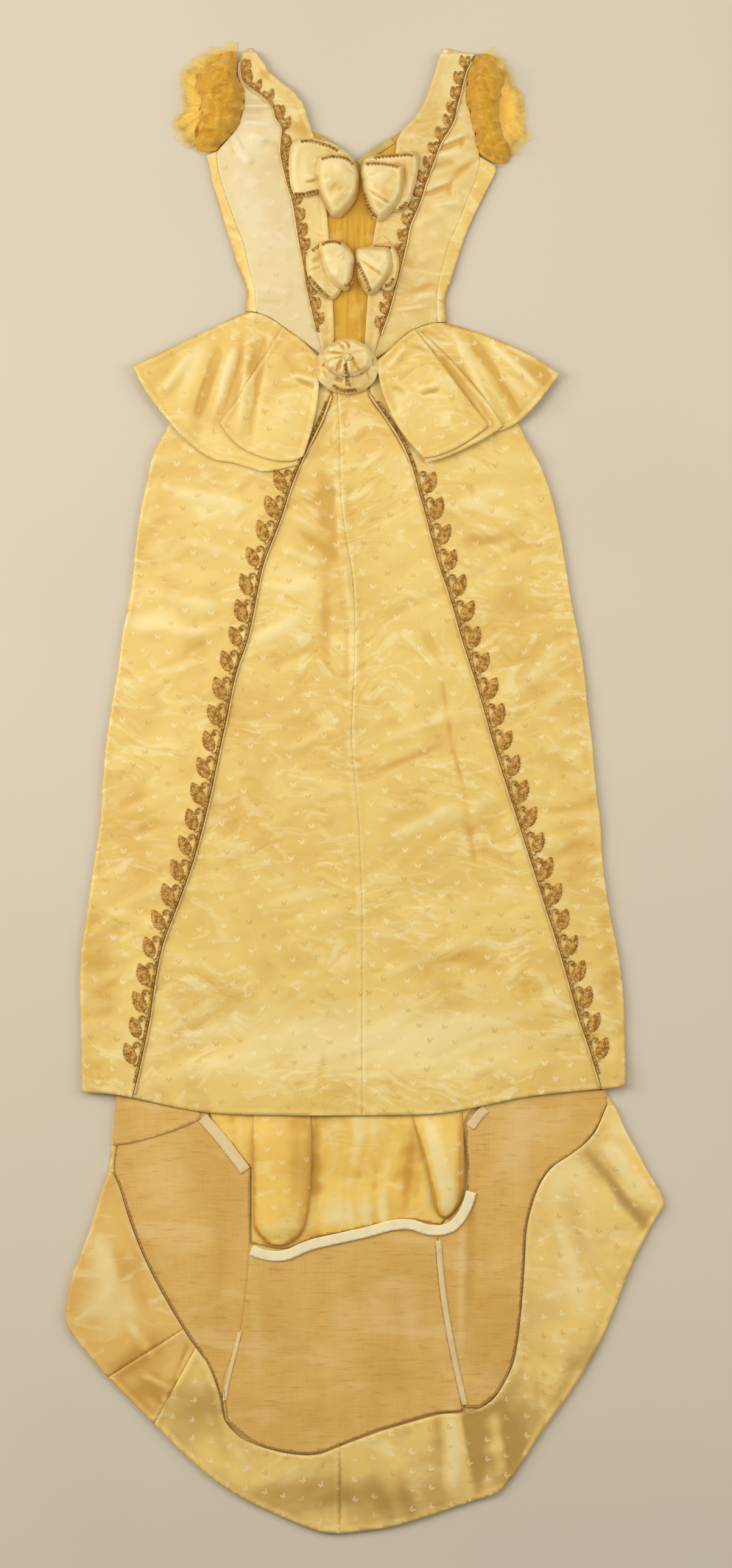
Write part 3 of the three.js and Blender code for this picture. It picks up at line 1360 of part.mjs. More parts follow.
const loopHeaps = {};
for (const [word, loop] of Object.entries(LOOPS)) {
  const [fx, fy] = loop.from;
  loopHeaps[word] = {
    outline: rounded(loop.outline, 19),
    centre: loop.centre,
    base: bowRest,
    rim: loop.rim,
    high: loop.high,
    crease: (x, y, reach) => {
      const angle = Math.atan2(y - fy, x - fx);
      const far = Math.min(1, Math.hypot(x - fx, y - fy) / 30);
      return (loop.high / 12) * far * Math.sin(angle * loop.creases * 2) * (1.1 - reach);
    },
  };
  const raw = heapGeometry(loopHeaps[word]);
  const trimmed = loop.over.reduce((solid, other) =>
    solid.subtract(toManifold(heapGeometry(loopHeaps[other], LAID_GAP))), toManifold(raw));
  addMesh(`bow_${word}`, 'pale_satin', loop.over.length ? largest(trimmed) : raw);
}
function rosetteRest(x, y) {
  const overSkirt = (1 - step(Math.abs(x + 19), 22, 33)) * (1 - step(y, 534, 556));
  return ROSETTE_REST - 4.4 * overSkirt;
}
function rosettePart(name, size, rest, count) {
  const outline = Array.from({ length: count }, (_, i) => {
    const angle = (2 * Math.PI * i) / count;
    const swell = 1 + (0.5 * size.depth * Math.cos(angle * size.folds)) / size.rx;
    return [size.x + size.rx * swell * Math.cos(angle), size.y + size.ry * swell * Math.sin(angle)];
  });
  addMesh(name, 'pale_satin', heapGeometry({
    outline,
    centre: [size.x, size.y],
    base: rest,
    rim: size.rim,
    high: size.high,
    crease: (x, y, reach) => {
      const angle = Math.atan2((y - size.y) / size.ry, (x - size.x) / size.rx);
      const where = Math.max(0, reach - 0.5) * 2;
      return -0.5 * size.depth * (1 - Math.cos(angle * size.folds)) * where * 0.5;
    },
  }));
}
rosettePart('rosette_ring', ROSETTE.ring, rosetteRest, 36);
const capRest = ROSETTE_REST + ROSETTE.ring.high + GAP * 2;
rosettePart('rosette_cap', ROSETTE.cap, () => capRest, 30);
const knotRest = capRest + ROSETTE.cap.high + GAP * 2;
rosettePart('rosette_knot', ROSETTE.knot, () => knotRest, 12);

// ---------------------------------------------------------------- centred on its box

const box = new THREE.Box3().setFromObject(gown);
const middle = box.getCenter(new THREE.Vector3());
for (const mesh of gown.children) mesh.geometry.translate(-middle.x, -middle.y, -box.min.z);

export default gown;
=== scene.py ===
"""A trained evening gown of figured satin, laid flat: cloth, trims, light and camera."""

import math

import bpy
import numpy as np
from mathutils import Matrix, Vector
from mathutils.bvhtree import BVHTree
from mathutils.geometry import delaunay_2d_cdt
from mathutils.kdtree import KDTree


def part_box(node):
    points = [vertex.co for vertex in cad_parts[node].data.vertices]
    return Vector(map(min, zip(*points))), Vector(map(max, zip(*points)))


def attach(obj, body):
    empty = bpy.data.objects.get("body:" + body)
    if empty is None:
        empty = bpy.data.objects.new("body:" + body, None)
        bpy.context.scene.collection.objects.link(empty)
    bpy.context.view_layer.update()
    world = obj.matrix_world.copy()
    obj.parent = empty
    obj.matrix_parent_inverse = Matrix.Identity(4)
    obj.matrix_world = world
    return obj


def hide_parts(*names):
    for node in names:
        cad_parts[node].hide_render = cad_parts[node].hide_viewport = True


bl_info = {
    "name": "Trained Evening Gown",
    "version": (1, 0, 0),
    "blender": (4, 5, 0),
    "location": "View3D > Sidebar > Gown",
    "description": "Cloth, bows, tulle and metal braid of a trained evening gown laid flat",
    "category": "Add Mesh",
}

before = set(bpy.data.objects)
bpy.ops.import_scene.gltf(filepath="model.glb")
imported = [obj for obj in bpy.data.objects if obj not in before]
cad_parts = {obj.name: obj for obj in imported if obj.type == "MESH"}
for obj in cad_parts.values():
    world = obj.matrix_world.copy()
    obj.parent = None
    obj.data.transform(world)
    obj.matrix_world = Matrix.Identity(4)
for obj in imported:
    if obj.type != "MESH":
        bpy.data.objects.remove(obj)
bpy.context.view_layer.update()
MM = 0.001
UP = Vector((0, 0, 1))
DOWN = Vector((0, 0, -1))
HIGH = 200.0  # a height over the whole gown, in mm
LAID = 0.25  # mm between a trim and the cloth it lies on
TOP_FACING = 0.25  # least upward part of a normal on a solid's upper side
CORNER = math.cos(math.radians(38))  # a line that turns more than this keeps its corner
TROUGH_SHADE_GAIN = 1.3  # how much painted shade a trough takes, for each mm of its depth
RING_GAP = 3.5  # mm, less than the way between two rings of a piping
SPRIG_ACROSS, SPRIG_ALONG = 16.6, 38.0  # repeat of the figured weave in mm
SURFACES = {}  # finished cloth by name, for what is laid on it


# ---------------------------------------------------------------- folds and creases

# x, y to x, y along the crease, depth (below 0) or height, half width, all in mm
BUST_CREASES = (
    (104, 848, 133, 861, 1.6, 3.2),
    (100, 842, 126, 852, -1.2, 2.6),
    (129, 857, 127, 842, -1.0, 2.4),
    (80, 781, 112, 793, -1.8, 2.6),
    (82, 787, 112, 799, 1.5, 3.4),
    (150, 832, 114, 799, -1.1, 3.4),
    (112, 801, 111, 779, -1.0, 2.6),
    (72, 826, 128, 838, 1.2, 5.5),
    (74, 812, 120, 823, -0.8, 4.2),
    (88, 765, 128, 772, 0.9, 5.0),
    (60, 740, 112, 760, 0.7, 6.0),
    (48, 652, 92, 664, -0.7, 3.2),
    (46, 644, 96, 650, 0.9, 4.2),
    (40, 628, 84, 634, 0.8, 3.0),
    (52, 690, 100, 704, 0.5, 6.0),
    (104, 905, 132, 900, -0.9, 2.4),
    (98, 890, 134, 884, 0.8, 3.0),
    (-160, 903, -124, 904, -1.2, 1.8),
    (-160, 897, -124, 896, 1.3, 2.4),
    (-160, 888, -132, 887, -1.2, 1.6),
    (-160, 881, -136, 881, -0.9, 1.4),
    (-160, 876, -120, 872, 1.0, 4.2),
    (-150, 862, -130, 849, 1.5, 6.0),
    (-136, 850, -112, 846, -1.1, 3.6),
    (-166, 858, -158, 842, -0.9, 1.8),
    (-176, 852, -170, 832, -0.8, 2.4),
    (-170, 846, -150, 820, 0.9, 6.5),
    (-172, 812, -138, 790, 0.5, 9.0),
    (-150, 660, -96, 650, 0.5, 5.0),
    (-140, 640, -92, 634, -0.5, 3.6),
)
SKIRT_CREASES = (
    (100, 150, 114, 60, -0.9, 3.4),
    (114, 60, 130, 0, -0.9, 3.6),
    (130, 0, 146, -110, -0.7, 4.0),
    (-34, 400, -28, 300, 1.0, 6.0),
    (-28, 300, -15, 210, 1.1, 5.0),
    (-15, 210, -14, 140, 1.2, 4.0),
    (-96, 360, -40, 330, 0.8, 6.0),
    (-90, 340, -30, 300, -0.7, 5.0),
    (-110, 318, -50, 292, 0.8, 7.0),
    (-50, 300, -52, 150, -0.6, 10.0),
    (-240, 330, -150, 300, 0.9, 9.0),
    (-250, 302, -160, 280, -0.7, 8.0),
    (-290, 262, -180, 236, 1.0, 12.0),
    (-300, 214, -200, 208, 0.9, 9.0),
    (-260, 196, -170, 214, 0.7, 10.0),
    (-250, 390, -150, 372, 0.9, 8.0),
    (120, 380, 210, 350, 0.8, 9.0),
    (130, 330, 230, 318, -0.6, 9.0),
    (20, 60, 110, 96, 0.7, 6.0),
    (10, 20, 100, 58, -0.6, 6.0),
    (40, -60, 120, -20, 0.8, 8.0),
    (60, -90, 130, -40, -0.6, 6.0),
    (0, -190, 110, -150, 0.7, 10.0),
    (10, -250, 150, -196, 0.8, 9.0),
    (-150, 190, -80, 230, 0.9, 9.0),
    (-130, 160, -60, 190, -0.7, 9.0),
    (-52, -340, -60, -392, -0.7, 3.0),
    (-100, 20, -10, -8, 0.6, 9.0),
    (-200, -60, -90, -110, 0.6, 12.0),
    (-150, -190, -30, -160, 0.6, 10.0),
    (230, 60, 290, 30, 0.7, 9.0),
    (-330, -160, -250, -190, 0.7, 9.0),
)
PEPLUM_CREASES = (
    (-88, 537, -66, 527, -1.2, 2.0),
    (-92, 543, -64, 535, 1.1, 3.2),
    (-190, 575, -218, 492, -1.6, 6.0),
    (-170, 580, -196, 490, 1.2, 6.0),
    (-230, 570, -268, 516, 1.1, 7.0),
    (-150, 600, -164, 470, 0.9, 6.0),
    (-130, 596, -150, 462, -0.9, 5.0),
    (74, 517, 98, 523, -1.2, 2.0),
    (70, 524, 96, 530, 1.1, 3.2),
    (34, 528, 54, 519, -0.7, 2.4),
    (30, 552, 54, 582, 0.8, 4.0),
    (140, 590, 202, 488, -1.5, 6.0),
    (160, 590, 232, 524, 1.2, 6.0),
    (120, 590, 176, 480, 1.0, 6.0),
    (98, 574, 150, 490, -0.7, 4.0),
    (60, 580, 96, 570, -0.6, 2.6),
)
TRAIN_CREASES = (
    (-240, -707, -335, -772, -1.2, 2.0),
    (-230, -722, -272, -842, -1.0, 1.8),
    (-33, -862, -33, -976, -0.8, 1.6),
    (225, -750, 228, -832, -0.6, 1.6),
    (134, -800, 150, -930, -1.6, 12.0),
    (110, -810, 116, -930, 1.3, 9.0),
    (168, -810, 182, -910, 1.2, 11.0),
    (300, -452, 392, -560, 1.5, 12.0),
    (286, -470, 380, -590, -0.9, 9.0),
    (330, -440, 370, -470, 1.0, 8.0),
    (140, -520, 138, -700, -1.2, 5.0),
    (128, -560, 126, -760, 0.9, 5.0),
    (-300, -560, -260, -640, 1.0, 14.0),
    (-330, -600, -280, -690, -0.9, 12.0),
    (-150, -560, -140, -800, 0.9, 12.0),
    (60, -640, 70, -860, 0.8, 16.0),
    (-60, -620, -60, -860, -0.7, 16.0),
    (-290, -770, -250, -790, 0.9, 3.0),
    (-280, -790, -262, -812, -0.8, 2.6),
    (-310, -700, -276, -748, 0.8, 6.0),
    (-180, -840, -150, -900, 0.8, 10.0),
    (250, -560, 290, -690, 0.9, 14.0),
)
BOW_CREASES = (
    (-8, 801, 6, 795, -1.6, 1.1),
    (1, 785, 36, 764, -2.0, 1.3),
    (3, 779, 34, 760, 0.7, 3.4),
    (-6, 790, 8, 768, 0.9, 2.4),
    (46, 812, 47, 776, 0.8, 4.0),
    (-12, 806, -24, 812, -0.7, 1.8),
    (-11, 790, -13, 776, -1.0, 1.6),
    (-14, 788, -36, 784, -0.5, 5.0),
    (-50, 800, -40, 790, 0.5, 7.0),
    (-30, 772, -42, 760, -0.5, 4.0),
    (-78, 795, -64, 797, -2.2, 1.5),
    (-78, 802, -64, 804, 0.9, 3.4),
    (-52, 838, -38, 834, -1.4, 1.1),
    (-90, 842, -93, 800, 0.8, 4.0),
    (12, 828, 58, 828, 0.7, 3.0),
    (57, 826, 60, 776, 0.8, 3.2),
    (-20, 708, -35, 695, -1.4, 1.2),
    (-16, 700, -24, 690, -0.5, 2.0),
    (-40, 680, -34, 664, 0.5, 8.0),
    (-13, 697, 27, 669, -2.1, 1.3),
    (-8, 704, 26, 681, 0.8, 3.6),
    (-12, 690, 4, 668, 0.6, 2.6),
    (-73, 679, -57, 684, -1.5, 1.4),
    (-70, 692, -58, 694, -0.9, 3.0),
    (-50, 656, -38, 650, 0.6, 2.0),
    (37, 708, 41, 672, 0.7, 3.0),
)
ROSETTE_CREASES = (
    (-58, 572, -26, 569, -1.9, 1.1),
    (-56, 554, -42, 562, -1.5, 1.1),
    (-42, 562, -28, 565, -1.5, 1.1),
    (-38, 590, -25, 573, -1.6, 1.3),
    (-32, 592, -22, 575, 1.2, 1.6),
    (-26, 592, -19, 576, -1.6, 1.2),
    (-18, 571, 6, 573, -0.6, 1.6),
    (-18, 564, -10, 552, -2.2, 2.0),
    (-10, 552, -4, 543, -1.8, 1.4),
    (-30, 562, -37, 545, -2.2, 2.2),
    (-27, 562, -31, 536, 1.4, 1.8),
    (-24, 560, -24, 524, -1.6, 1.0),
    (-21, 560, -19, 526, 1.2, 1.8),
    (-38, 537, -28, 535, -2.0, 2.4),
    (2, 546, 8, 534, -1.0, 1.6),
    (-54, 548, -48, 536, -1.0, 1.6),
    (10, 566, 11, 552, -1.2, 1.4),
    (-40, 556, -52, 545, 0.7, 4.0),
)
PUFF_CREASES = (
    (-216, 846, -190, 842, -1.5, 1.6),
    (-220, 858, -182, 863, -1.3, 3.0),
    (-184, 888, -164, 905, -1.2, 2.4),
    (-206, 912, -170, 926, -1.2, 3.2),
    (-212, 938, -180, 944, -1.3, 3.4),
    (-214, 900, -196, 880, 1.2, 4.0),
    (-200, 872, -174, 878, 1.1, 4.0),
    (-196, 936, -186, 904, 0.9, 4.6),
    (134, 936, 164, 944, -1.2, 3.0),
    (134, 916, 168, 914, -1.8, 3.4),
    (134, 900, 156, 905, -1.4, 3.2),
    (146, 862, 184, 862, -1.3, 2.4),
    (148, 846, 186, 840, -1.1, 2.4),
    (146, 880, 180, 894, 1.0, 4.2),
    (150, 926, 176, 930, 1.1, 3.6),
    (156, 852, 182, 852, 1.0, 3.6),
)


# x, y, half width, half height, turn in degrees, strength: above 0 painted shade, below 0 painted
# highlight
SKIRT_PAINTED_SHADING = (
    (-200, 375, 52, 26, -18, -0.8),
    (-270, 224, 70, 15, 6, -0.9),
    (-225, 300, 60, 12, -14, -0.5),
    (-88, 276, 42, 22, -20, -0.7),
    (-110, 212, 44, 20, 18, -0.7),
    (-52, 380, 14, 60, 4, 0.8),
    (-52, 250, 12, 70, 0, 0.5),
    (-30, 320, 18, 20, 0, 0.4),
    (54, 410, 24, 30, 20, -0.5),
    (165, 380, 52, 20, 16, -0.7),
    (150, 330, 46, 12, 20, 0.4),
    (200, 250, 34, 60, 12, 0.45),
    (222, 150, 30, 50, 10, -0.35),
    (70, 90, 60, 12, 24, -0.55),
    (60, 45, 56, 8, 24, 0.35),
    (95, -40, 66, 14, 26, -0.55),
    (55, -74, 50, 7, 26, 0.15),
    (60, -185, 90, 14, 20, -0.5),
    (150, -225, 70, 16, -24, 0.45),
    (-110, 10, 80, 20, -20, -0.35),
    (-150, 120, 46, 26, 30, 0.35),
    (-210, 20, 40, 60, 10, 0.3),
    (-120, -120, 80, 22, -22, -0.4),
    (-60, -330, 220, 50, 0, -0.8),
    (120, -330, 120, 40, 0, -0.5),
    (-345, -240, 24, 90, 6, 0.5),
    (-300, -30, 28, 80, 10, 0.35),
    (-330, -330, 40, 30, 0, -0.4),
    (280, -60, 24, 90, -8, 0.35),
    (320, -250, 18, 70, -6, 0.3),
    (-60, -394, 70, 10, 0, 0.35),
)
TRAIN_PAINTED_SHADING = (
    (165, -842, 52, 58, 10, 1.0),
    (122, -862, 14, 60, 8, -0.9),
    (200, -900, 30, 30, 0, 0.4),
    (265, -640, 40, 90, -24, -0.5),
    (250, -500, 40, 50, 10, -0.8),
    (345, -470, 18, 60, 34, -0.7),
    (320, -520, 14, 60, 34, 0.4),
    (370, -540, 14, 50, 34, 0.5),
    (280, -760, 30, 70, -30, 0.45),
    (-70, -925, 120, 26, 0, 0.7),
    (40, -935, 60, 30, 0, 0.45),
    (-220, -820, 60, 40, 40, 0.6),
    (-345, -620, 34, 70, 0, -0.5),
    (-300, -748, 44, 18, 34, 0.9),
    (-330, -690, 40, 40, 0, -0.5),
    (-280, -785, 34, 20, 30, 0.9),
    (-262, -772, 20, 8, 30, -0.6),
    (-140, -900, 40, 20, 30, -0.3),
)
GATHER_PAINTED_SHADING = (
    (-20, -470, 60, 60, 0, -0.2),
    (-30, -556, 80, 20, 4, -0.8),
    (-10, -505, 22, 8, -30, 0.4),
    (10, -490, 8, 22, 10, 0.4),
    (-100, -590, 34, 12, 16, 0.6),
    (-66, -500, 12, 90, 2, 0.8),
    (-105, -500, 10, 80, 2, -0.9),
    (-130, -520, 8, 80, 2, 0.8),
    (58, -500, 12, 70, -4, 0.9),
    (92, -490, 10, 60, -6, -0.8),
    (118, -500, 8, 60, -8, 0.6),
    (0, -440, 20, 40, 0, -0.4),
)
PEPLUM_PAINTED_SHADING = (
    (-210, 525, 10, 50, -18, 1.0),
    (-232, 545, 12, 40, -22, -0.7),
    (-190, 530, 9, 50, -14, -0.5),
    (-270, 556, 16, 40, -30, 0.5),
    (-150, 560, 12, 60, 24, 0.5),
    (-110, 500, 24, 40, 6, -0.5),
    (-100, 560, 16, 24, 20, 0.5),
    (62, 500, 40, 34, 0, -0.4),
    (160, 540, 10, 60, 36, -0.7),
    (178, 536, 9, 60, 34, 1.0),
    (206, 540, 12, 50, 40, -0.6),
    (118, 548, 10, 56, 36, 0.6),
    (100, 580, 40, 10, -14, -0.5),
    (228, 540, 14, 34, 44, 0.5),
    (-156, 545, 5, 30, -25, 0.7),
    (-194, 495, 6, 26, -12, 0.7),
    (-222, 560, 12, 28, -30, -0.5),
    (160, 562, 7, 36, 53, 0.7),
    (192, 534, 6, 30, 40, -0.7),
    (236, 548, 8, 24, 30, 0.5),
)
BUST_PAINTED_SHADING = (
    (-120, 822, 22, 20, 20, 0.7),
    (-112, 842, 20, 8, -10, 0.7),
    (-134, 894, 26, 3, 0, 0.9),
    (-150, 850, 24, 20, 0, -0.9),
    (-150, 760, 24, 60, 10, -0.6),
    (-98, 930, 14, 12, -30, 0.6),
    (-116, 958, 10, 16, 30, -0.6),
    (-128, 940, 12, 8, 30, 0.8),
    (-84, 866, 18, 10, -30, 0.9),
    (-170, 690, 10, 60, 14, 0.35),
    (96, 786, 20, 4, 22, 0.9),
    (94, 797, 20, 5, 22, -0.7),
    (118, 855, 20, 4, 24, -0.8),
    (112, 846, 20, 4, 24, 0.8),
    (124, 815, 24, 7, 30, 0.7),
    (130, 830, 16, 8, 20, -0.5),
    (84, 870, 14, 40, -20, 0.4),
    (80, 730, 30, 14, 20, -0.5),
    (70, 655, 30, 5, 14, 0.5),
    (78, 642, 34, 6, 8, -0.5),
    (110, 925, 10, 30, -16, -0.4),
)
BOW_PAINTED_SHADING = (
    (-38, 786, 20, 17, 0, 0.5),
    (-36, 760, 14, 7, 0, 0.5),
    (-40, 812, 20, 10, 0, -0.5),
    (-56, 770, 5, 14, 20, 0.8),
    (-11, 790, 4, 14, 0, 0.9),
    (-66, 800, 6, 5, 0, 0.9),
    (-82, 812, 10, 18, 0, -0.7),
    (54, 808, 4, 16, 0, 1.0),
    (22, 800, 18, 14, 0, -0.7),
    (46, 790, 5, 20, 0, 0.5),
    (-1, 797, 6, 5, 0, 0.6),
    (10, 760, 8, 12, -30, 0.4),
    (-62, 696, 8, 10, 0, 0.9),
    (-60, 670, 8, 12, -30, 0.5),
    (-38, 690, 16, 16, 0, -0.6),
    (20, 694, 16, 14, 0, -0.7),
    (30, 668, 5, 14, -30, 0.7),
    (-6, 668, 5, 14, 30, 0.6),
    (-36, 538, 8, 4, 0, 1.0),
    (-12, 552, 4, 6, 30, 1.0),
    (-34, 552, 4, 7, -20, 1.0),
    (0, 566, 8, 10, 0, -0.6),
    (-46, 560, 8, 6, 0, -0.6),
    (-20, 522, 26, 4, 0, 0.7),
    (-62, 552, 5, 16, 0, 0.7),
    (13, 556, 4, 16, 0, 0.6),
)
CANVAS_PAINTED_SHADING = (
    (-262, -520, 40, 60, 0, -0.6),
    (-310, -560, 16, 60, 10, 0.4),
    (-192, -600, 14, 90, 0, 0.6),
    (-230, -700, 40, 24, 30, 0.3),
    (0, -690, 120, 40, 0, -0.4),
    (30, -764, 70, 24, 0, 0.5),
    (-70, -820, 70, 26, -14, 0.4),
    (60, -850, 60, 26, 10, 0.35),
    (196, -480, 26, 60, 0, -0.8),
    (152, -600, 14, 90, 0, 0.5),
    (240, -430, 40, 18, 0, -0.5),
    (116, -800, 26, 70, 0, -0.5),
    (176, -700, 24, 60, -14, 0.4),
)
PLEAT_PAINTED_SHADING = (
    (-88, -490, 14, 90, 0, 0.7),
    (-110, -500, 16, 90, 0, 0.2),
    (-68, -500, 5, 80, 0, 1.0),
    (92, -470, 9, 60, 14, -0.9),
    (108, -530, 10, 30, 10, -0.5),
    (128, -480, 6, 70, -2, 1.0),
    (70, -480, 7, 60, 12, 0.9),
    (84, -550, 16, 22, 0, 1.0),
)


def across_along(x, y, turn):
    """Plan places seen from axes that are turned by some degrees."""
    c, s = math.cos(math.radians(turn)), math.sin(math.radians(turn))
    return x * c + y * s, y * c - x * s


def painted_shading_spots(x, y, table):
    """Listed soft spots of painted shade and painted highlight on the cloth."""
    total = np.zeros_like(x)
    for cx, cy, wide, high, turn, strength in table:
        a, b = across_along(x - cx, y - cy, turn)
        a, b = a / wide, b / high
        total += strength * np.exp(-(a * a + b * b))
    return total


def lattice(u, v, seed):
    """Smooth value noise from 0 to 1, the same for the same seed."""
    size = 64
    table = np.random.default_rng(seed).random((size, size))
    iu, iv = np.floor(u).astype(int), np.floor(v).astype(int)
    fu, fv = u - iu, v - iv
    su, sv = fu * fu * (3 - 2 * fu), fv * fv * (3 - 2 * fv)

    def at(a, b):
        return table[(iu + a) % size, (iv + b) % size]

    low = at(0, 0) * (1 - su) + at(1, 0) * su
    high = at(0, 1) * (1 - su) + at(1, 1) * su
    return low * (1 - sv) + high * sv


def drift(x, y, turn, length, width, seed):
    """Long soft folds, from 0 to 1, that run at an angle of turn degrees."""
    bend = (lattice(x / 90, y / 90, seed + 7) - 0.5) * width * 1.6
    u, v = across_along(x, y, turn)
    v = v + bend
    coarse = lattice(u / length, v / width, seed)
    return 0.7 * coarse + 0.3 * lattice(u * 2.1 / length, v * 2.3 / width, seed + 1)


def ease(value, low, high):
    t = np.clip((value - low) / (high - low), 0, 1)
    return t * t * (3 - 2 * t)


def creased(x, y, table):
    """The sum of listed creases: soft troughs and ridges along short lines."""
    total = np.zeros_like(x)
    for x0, y0, x1, y1, height, half in table:
        dx, dy = x1 - x0, y1 - y0
        long = math.hypot(dx, dy)
        along = ((x - x0) * dx + (y - y0) * dy) / long
        off = ((y - y0) * dx - (x - x0) * dy) / long
        t = along / long
        fade = ease(t, -0.12, 0.25) * (1 - ease(t, 0.75, 1.12))
        total += height * fade * np.exp(-((off / half) ** 2))
    return total


def skirt_relief(x, y):
    left = drift(x, y, 196, 150, 30, 11)
    right = drift(x, y, 22, 150, 28, 23)
    mix = ease(x, -60, 60)
    broad = left * (1 - mix) + right * mix
    fine = drift(x, y, 30, 46, 13, 31) * lattice(x / 70, y / 70, 5)
    hang = drift(x, y, 88, 420, 60, 41)
    level = 2.3 * broad + 1.3 * fine + 1.2 * hang + 1.4 * creased(x, y, SKIRT_CREASES)
    return np.clip(level, -0.2, 6.0) * (1 - ease(y, 425, 470))


def bodice_relief(x, y):
    level = 0.8 * drift(x, y, 60, 60, 22, 51) + 2.1 * creased(x, y, BUST_CREASES)
    bows = (1 - ease(np.abs(x + 15), 78, 90)) * ease(y, 630, 650) * (1 - ease(y, 845, 862))
    return np.clip(level, -0.5, 3.4) * (1 - 0.9 * bows)


def peplum_relief(x, y):
    angle = np.degrees(np.arctan2(y - 700, x + 25))
    ray = np.sin(np.radians(angle) * 26 + 2 * lattice(x / 60, y / 60, 3))
    out = ease(np.hypot(x + 25, (y - 640)), 60, 190)
    level = 0.7 + 0.5 * ray * out + 0.8 * drift(x, y, 60, 70, 24, 61)
    return np.clip(level + 2.5 * creased(x, y, PEPLUM_CREASES), -0.2, 5.0)


def train_relief(x, y):
    broad = drift(x, y, 95, 260, 60, 71)
    small = drift(x, y, 20, 40, 16, 81) * lattice(x / 80, y / 80, 9)
    level = 2.4 * broad + 0.9 * small + 1.3 * creased(x, y, TRAIN_CREASES)
    return np.clip(level, -0.1, 6.0)


def gathered_relief(x, y):
    ray = drift(x, y, 92, 190, 12, 91)
    cross = drift(x, y, 15, 50, 14, 95)
    return np.clip(2.2 * ray + 1.2 * cross - 0.8, 0, 3.4) * ease(y, -612, -560)


def plain_relief(x, y):
    return 0.4 * drift(x, y, 80, 200, 40, 17)


# ---------------------------------------------------------------- cloth on the solids' form


def solid_of(name):
    """A node's points in mm, with those that coincide joined, and its triangles."""
    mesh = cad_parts[name].data
    points = np.empty(len(mesh.vertices) * 3)
    mesh.vertices.foreach_get("co", points)
    points = points.reshape(-1, 3) / MM
    mesh.calc_loop_triangles()
    corners = np.empty(len(mesh.loop_triangles) * 3, np.int32)
    mesh.loop_triangles.foreach_get("vertices", corners)
    rough = np.round(points / 0.01).astype(np.int64)
    _, first, back = np.unique(rough, axis=0, return_index=True, return_inverse=True)
    triangles = back.ravel()[corners].reshape(-1, 3)
    return points[first], triangles


def facing_up(points, triangles):
    a, b, c = (points[triangles[:, i]] for i in range(3))
    normal = np.cross(b - a, c - a)
    size = np.maximum(np.linalg.norm(normal, axis=1), 1e-9)
    return triangles[normal[:, 2] / size > TOP_FACING]


def edge_loop(points, triangles):
    """The longest closed edge of some triangles, as a list of point numbers."""
    pairs = {}
    for tri in triangles:
        for k in range(3):
            pairs[(int(tri[k]), int(tri[(k + 1) % 3]))] = True
    onward = {}
    for a, b in pairs:
        if (b, a) not in pairs:
            onward.setdefault(a, []).append(b)
    loops = []
    while onward:
        start = next(iter(onward))
        loop, at = [start], onward[start].pop()
        if not onward[start]:
            del onward[start]
        while at != start and at in onward:
            loop.append(at)
            step = onward[at].pop()
            if not onward[at]:
                del onward[at]
            at = step
        loops.append(loop)

    def area(loop):
        p = points[loop][:, :2]
        q = np.roll(p, -1, axis=0)
        return abs((p[:, 0] * q[:, 1] - q[:, 0] * p[:, 1]).sum())

    return max(loops, key=area)


def smooth_loop(loop, pitch):
    """A closed line through the loop's points, rounded between its corners."""
    count = len(loop)
    ahead = np.roll(loop, -1, axis=0) - loop
    behind = loop - np.roll(loop, 1, axis=0)
    size = np.linalg.norm(ahead[:, :2], axis=1) * np.linalg.norm(behind[:, :2], axis=1)
    cosine = (ahead[:, :2] * behind[:, :2]).sum(1) / np.maximum(size, 1e-9)
    corner = cosine < CORNER
    out = []
    for i in range(count):
        p1, p2 = loop[i], loop[(i + 1) % count]
        p0 = 2 * p1 - p2 if corner[i] else loop[i - 1]
        p3 = 2 * p2 - p1 if corner[(i + 1) % count] else loop[(i + 2) % count]
        span = np.linalg.norm((p2 - p1)[:2])
        if span < 1e-6:
            continue
        m1 = (p2 - p0) * min(1, span / max(np.linalg.norm((p1 - p0)[:2]), 1e-6)) / 2
        m2 = (p3 - p1) * min(1, span / max(np.linalg.norm((p3 - p2)[:2]), 1e-6)) / 2
        for t in np.arange(max(1, round(span / pitch))) / max(1, round(span / pitch)):
            h = (2 * t**3 - 3 * t**2 + 1, t**3 - 2 * t**2 + t, 3 * t**2 - 2 * t**3, t**3 - t**2)
            out.append(h[0] * p1 + h[1] * m1 + h[2] * p2 + h[3] * m2)
    return np.array(out)


def rim_of(points, triangles, pitch):
    """The outline of a solid's upper side, as a smooth closed line."""
    return smooth_loop(points[edge_loop(points, facing_up(points, triangles))], pitch)


def grown(rim, by):
    """A closed line moved outward by some mm, so that sewn neighbours meet."""
    after, before = np.roll(rim, -1, axis=0), np.roll(rim, 1, axis=0)
    way = (after - before)[:, :2]
    size = np.maximum(np.linalg.norm(way, axis=1, keepdims=True), 1e-9)
    turn = np.sign((rim[:, 0] * after[:, 1] - after[:, 0] * rim[:, 1]).sum())
    out = rim.copy()
    out[:, :2] += by * turn * np.column_stack([way[:, 1], -way[:, 0]]) / size
    return out


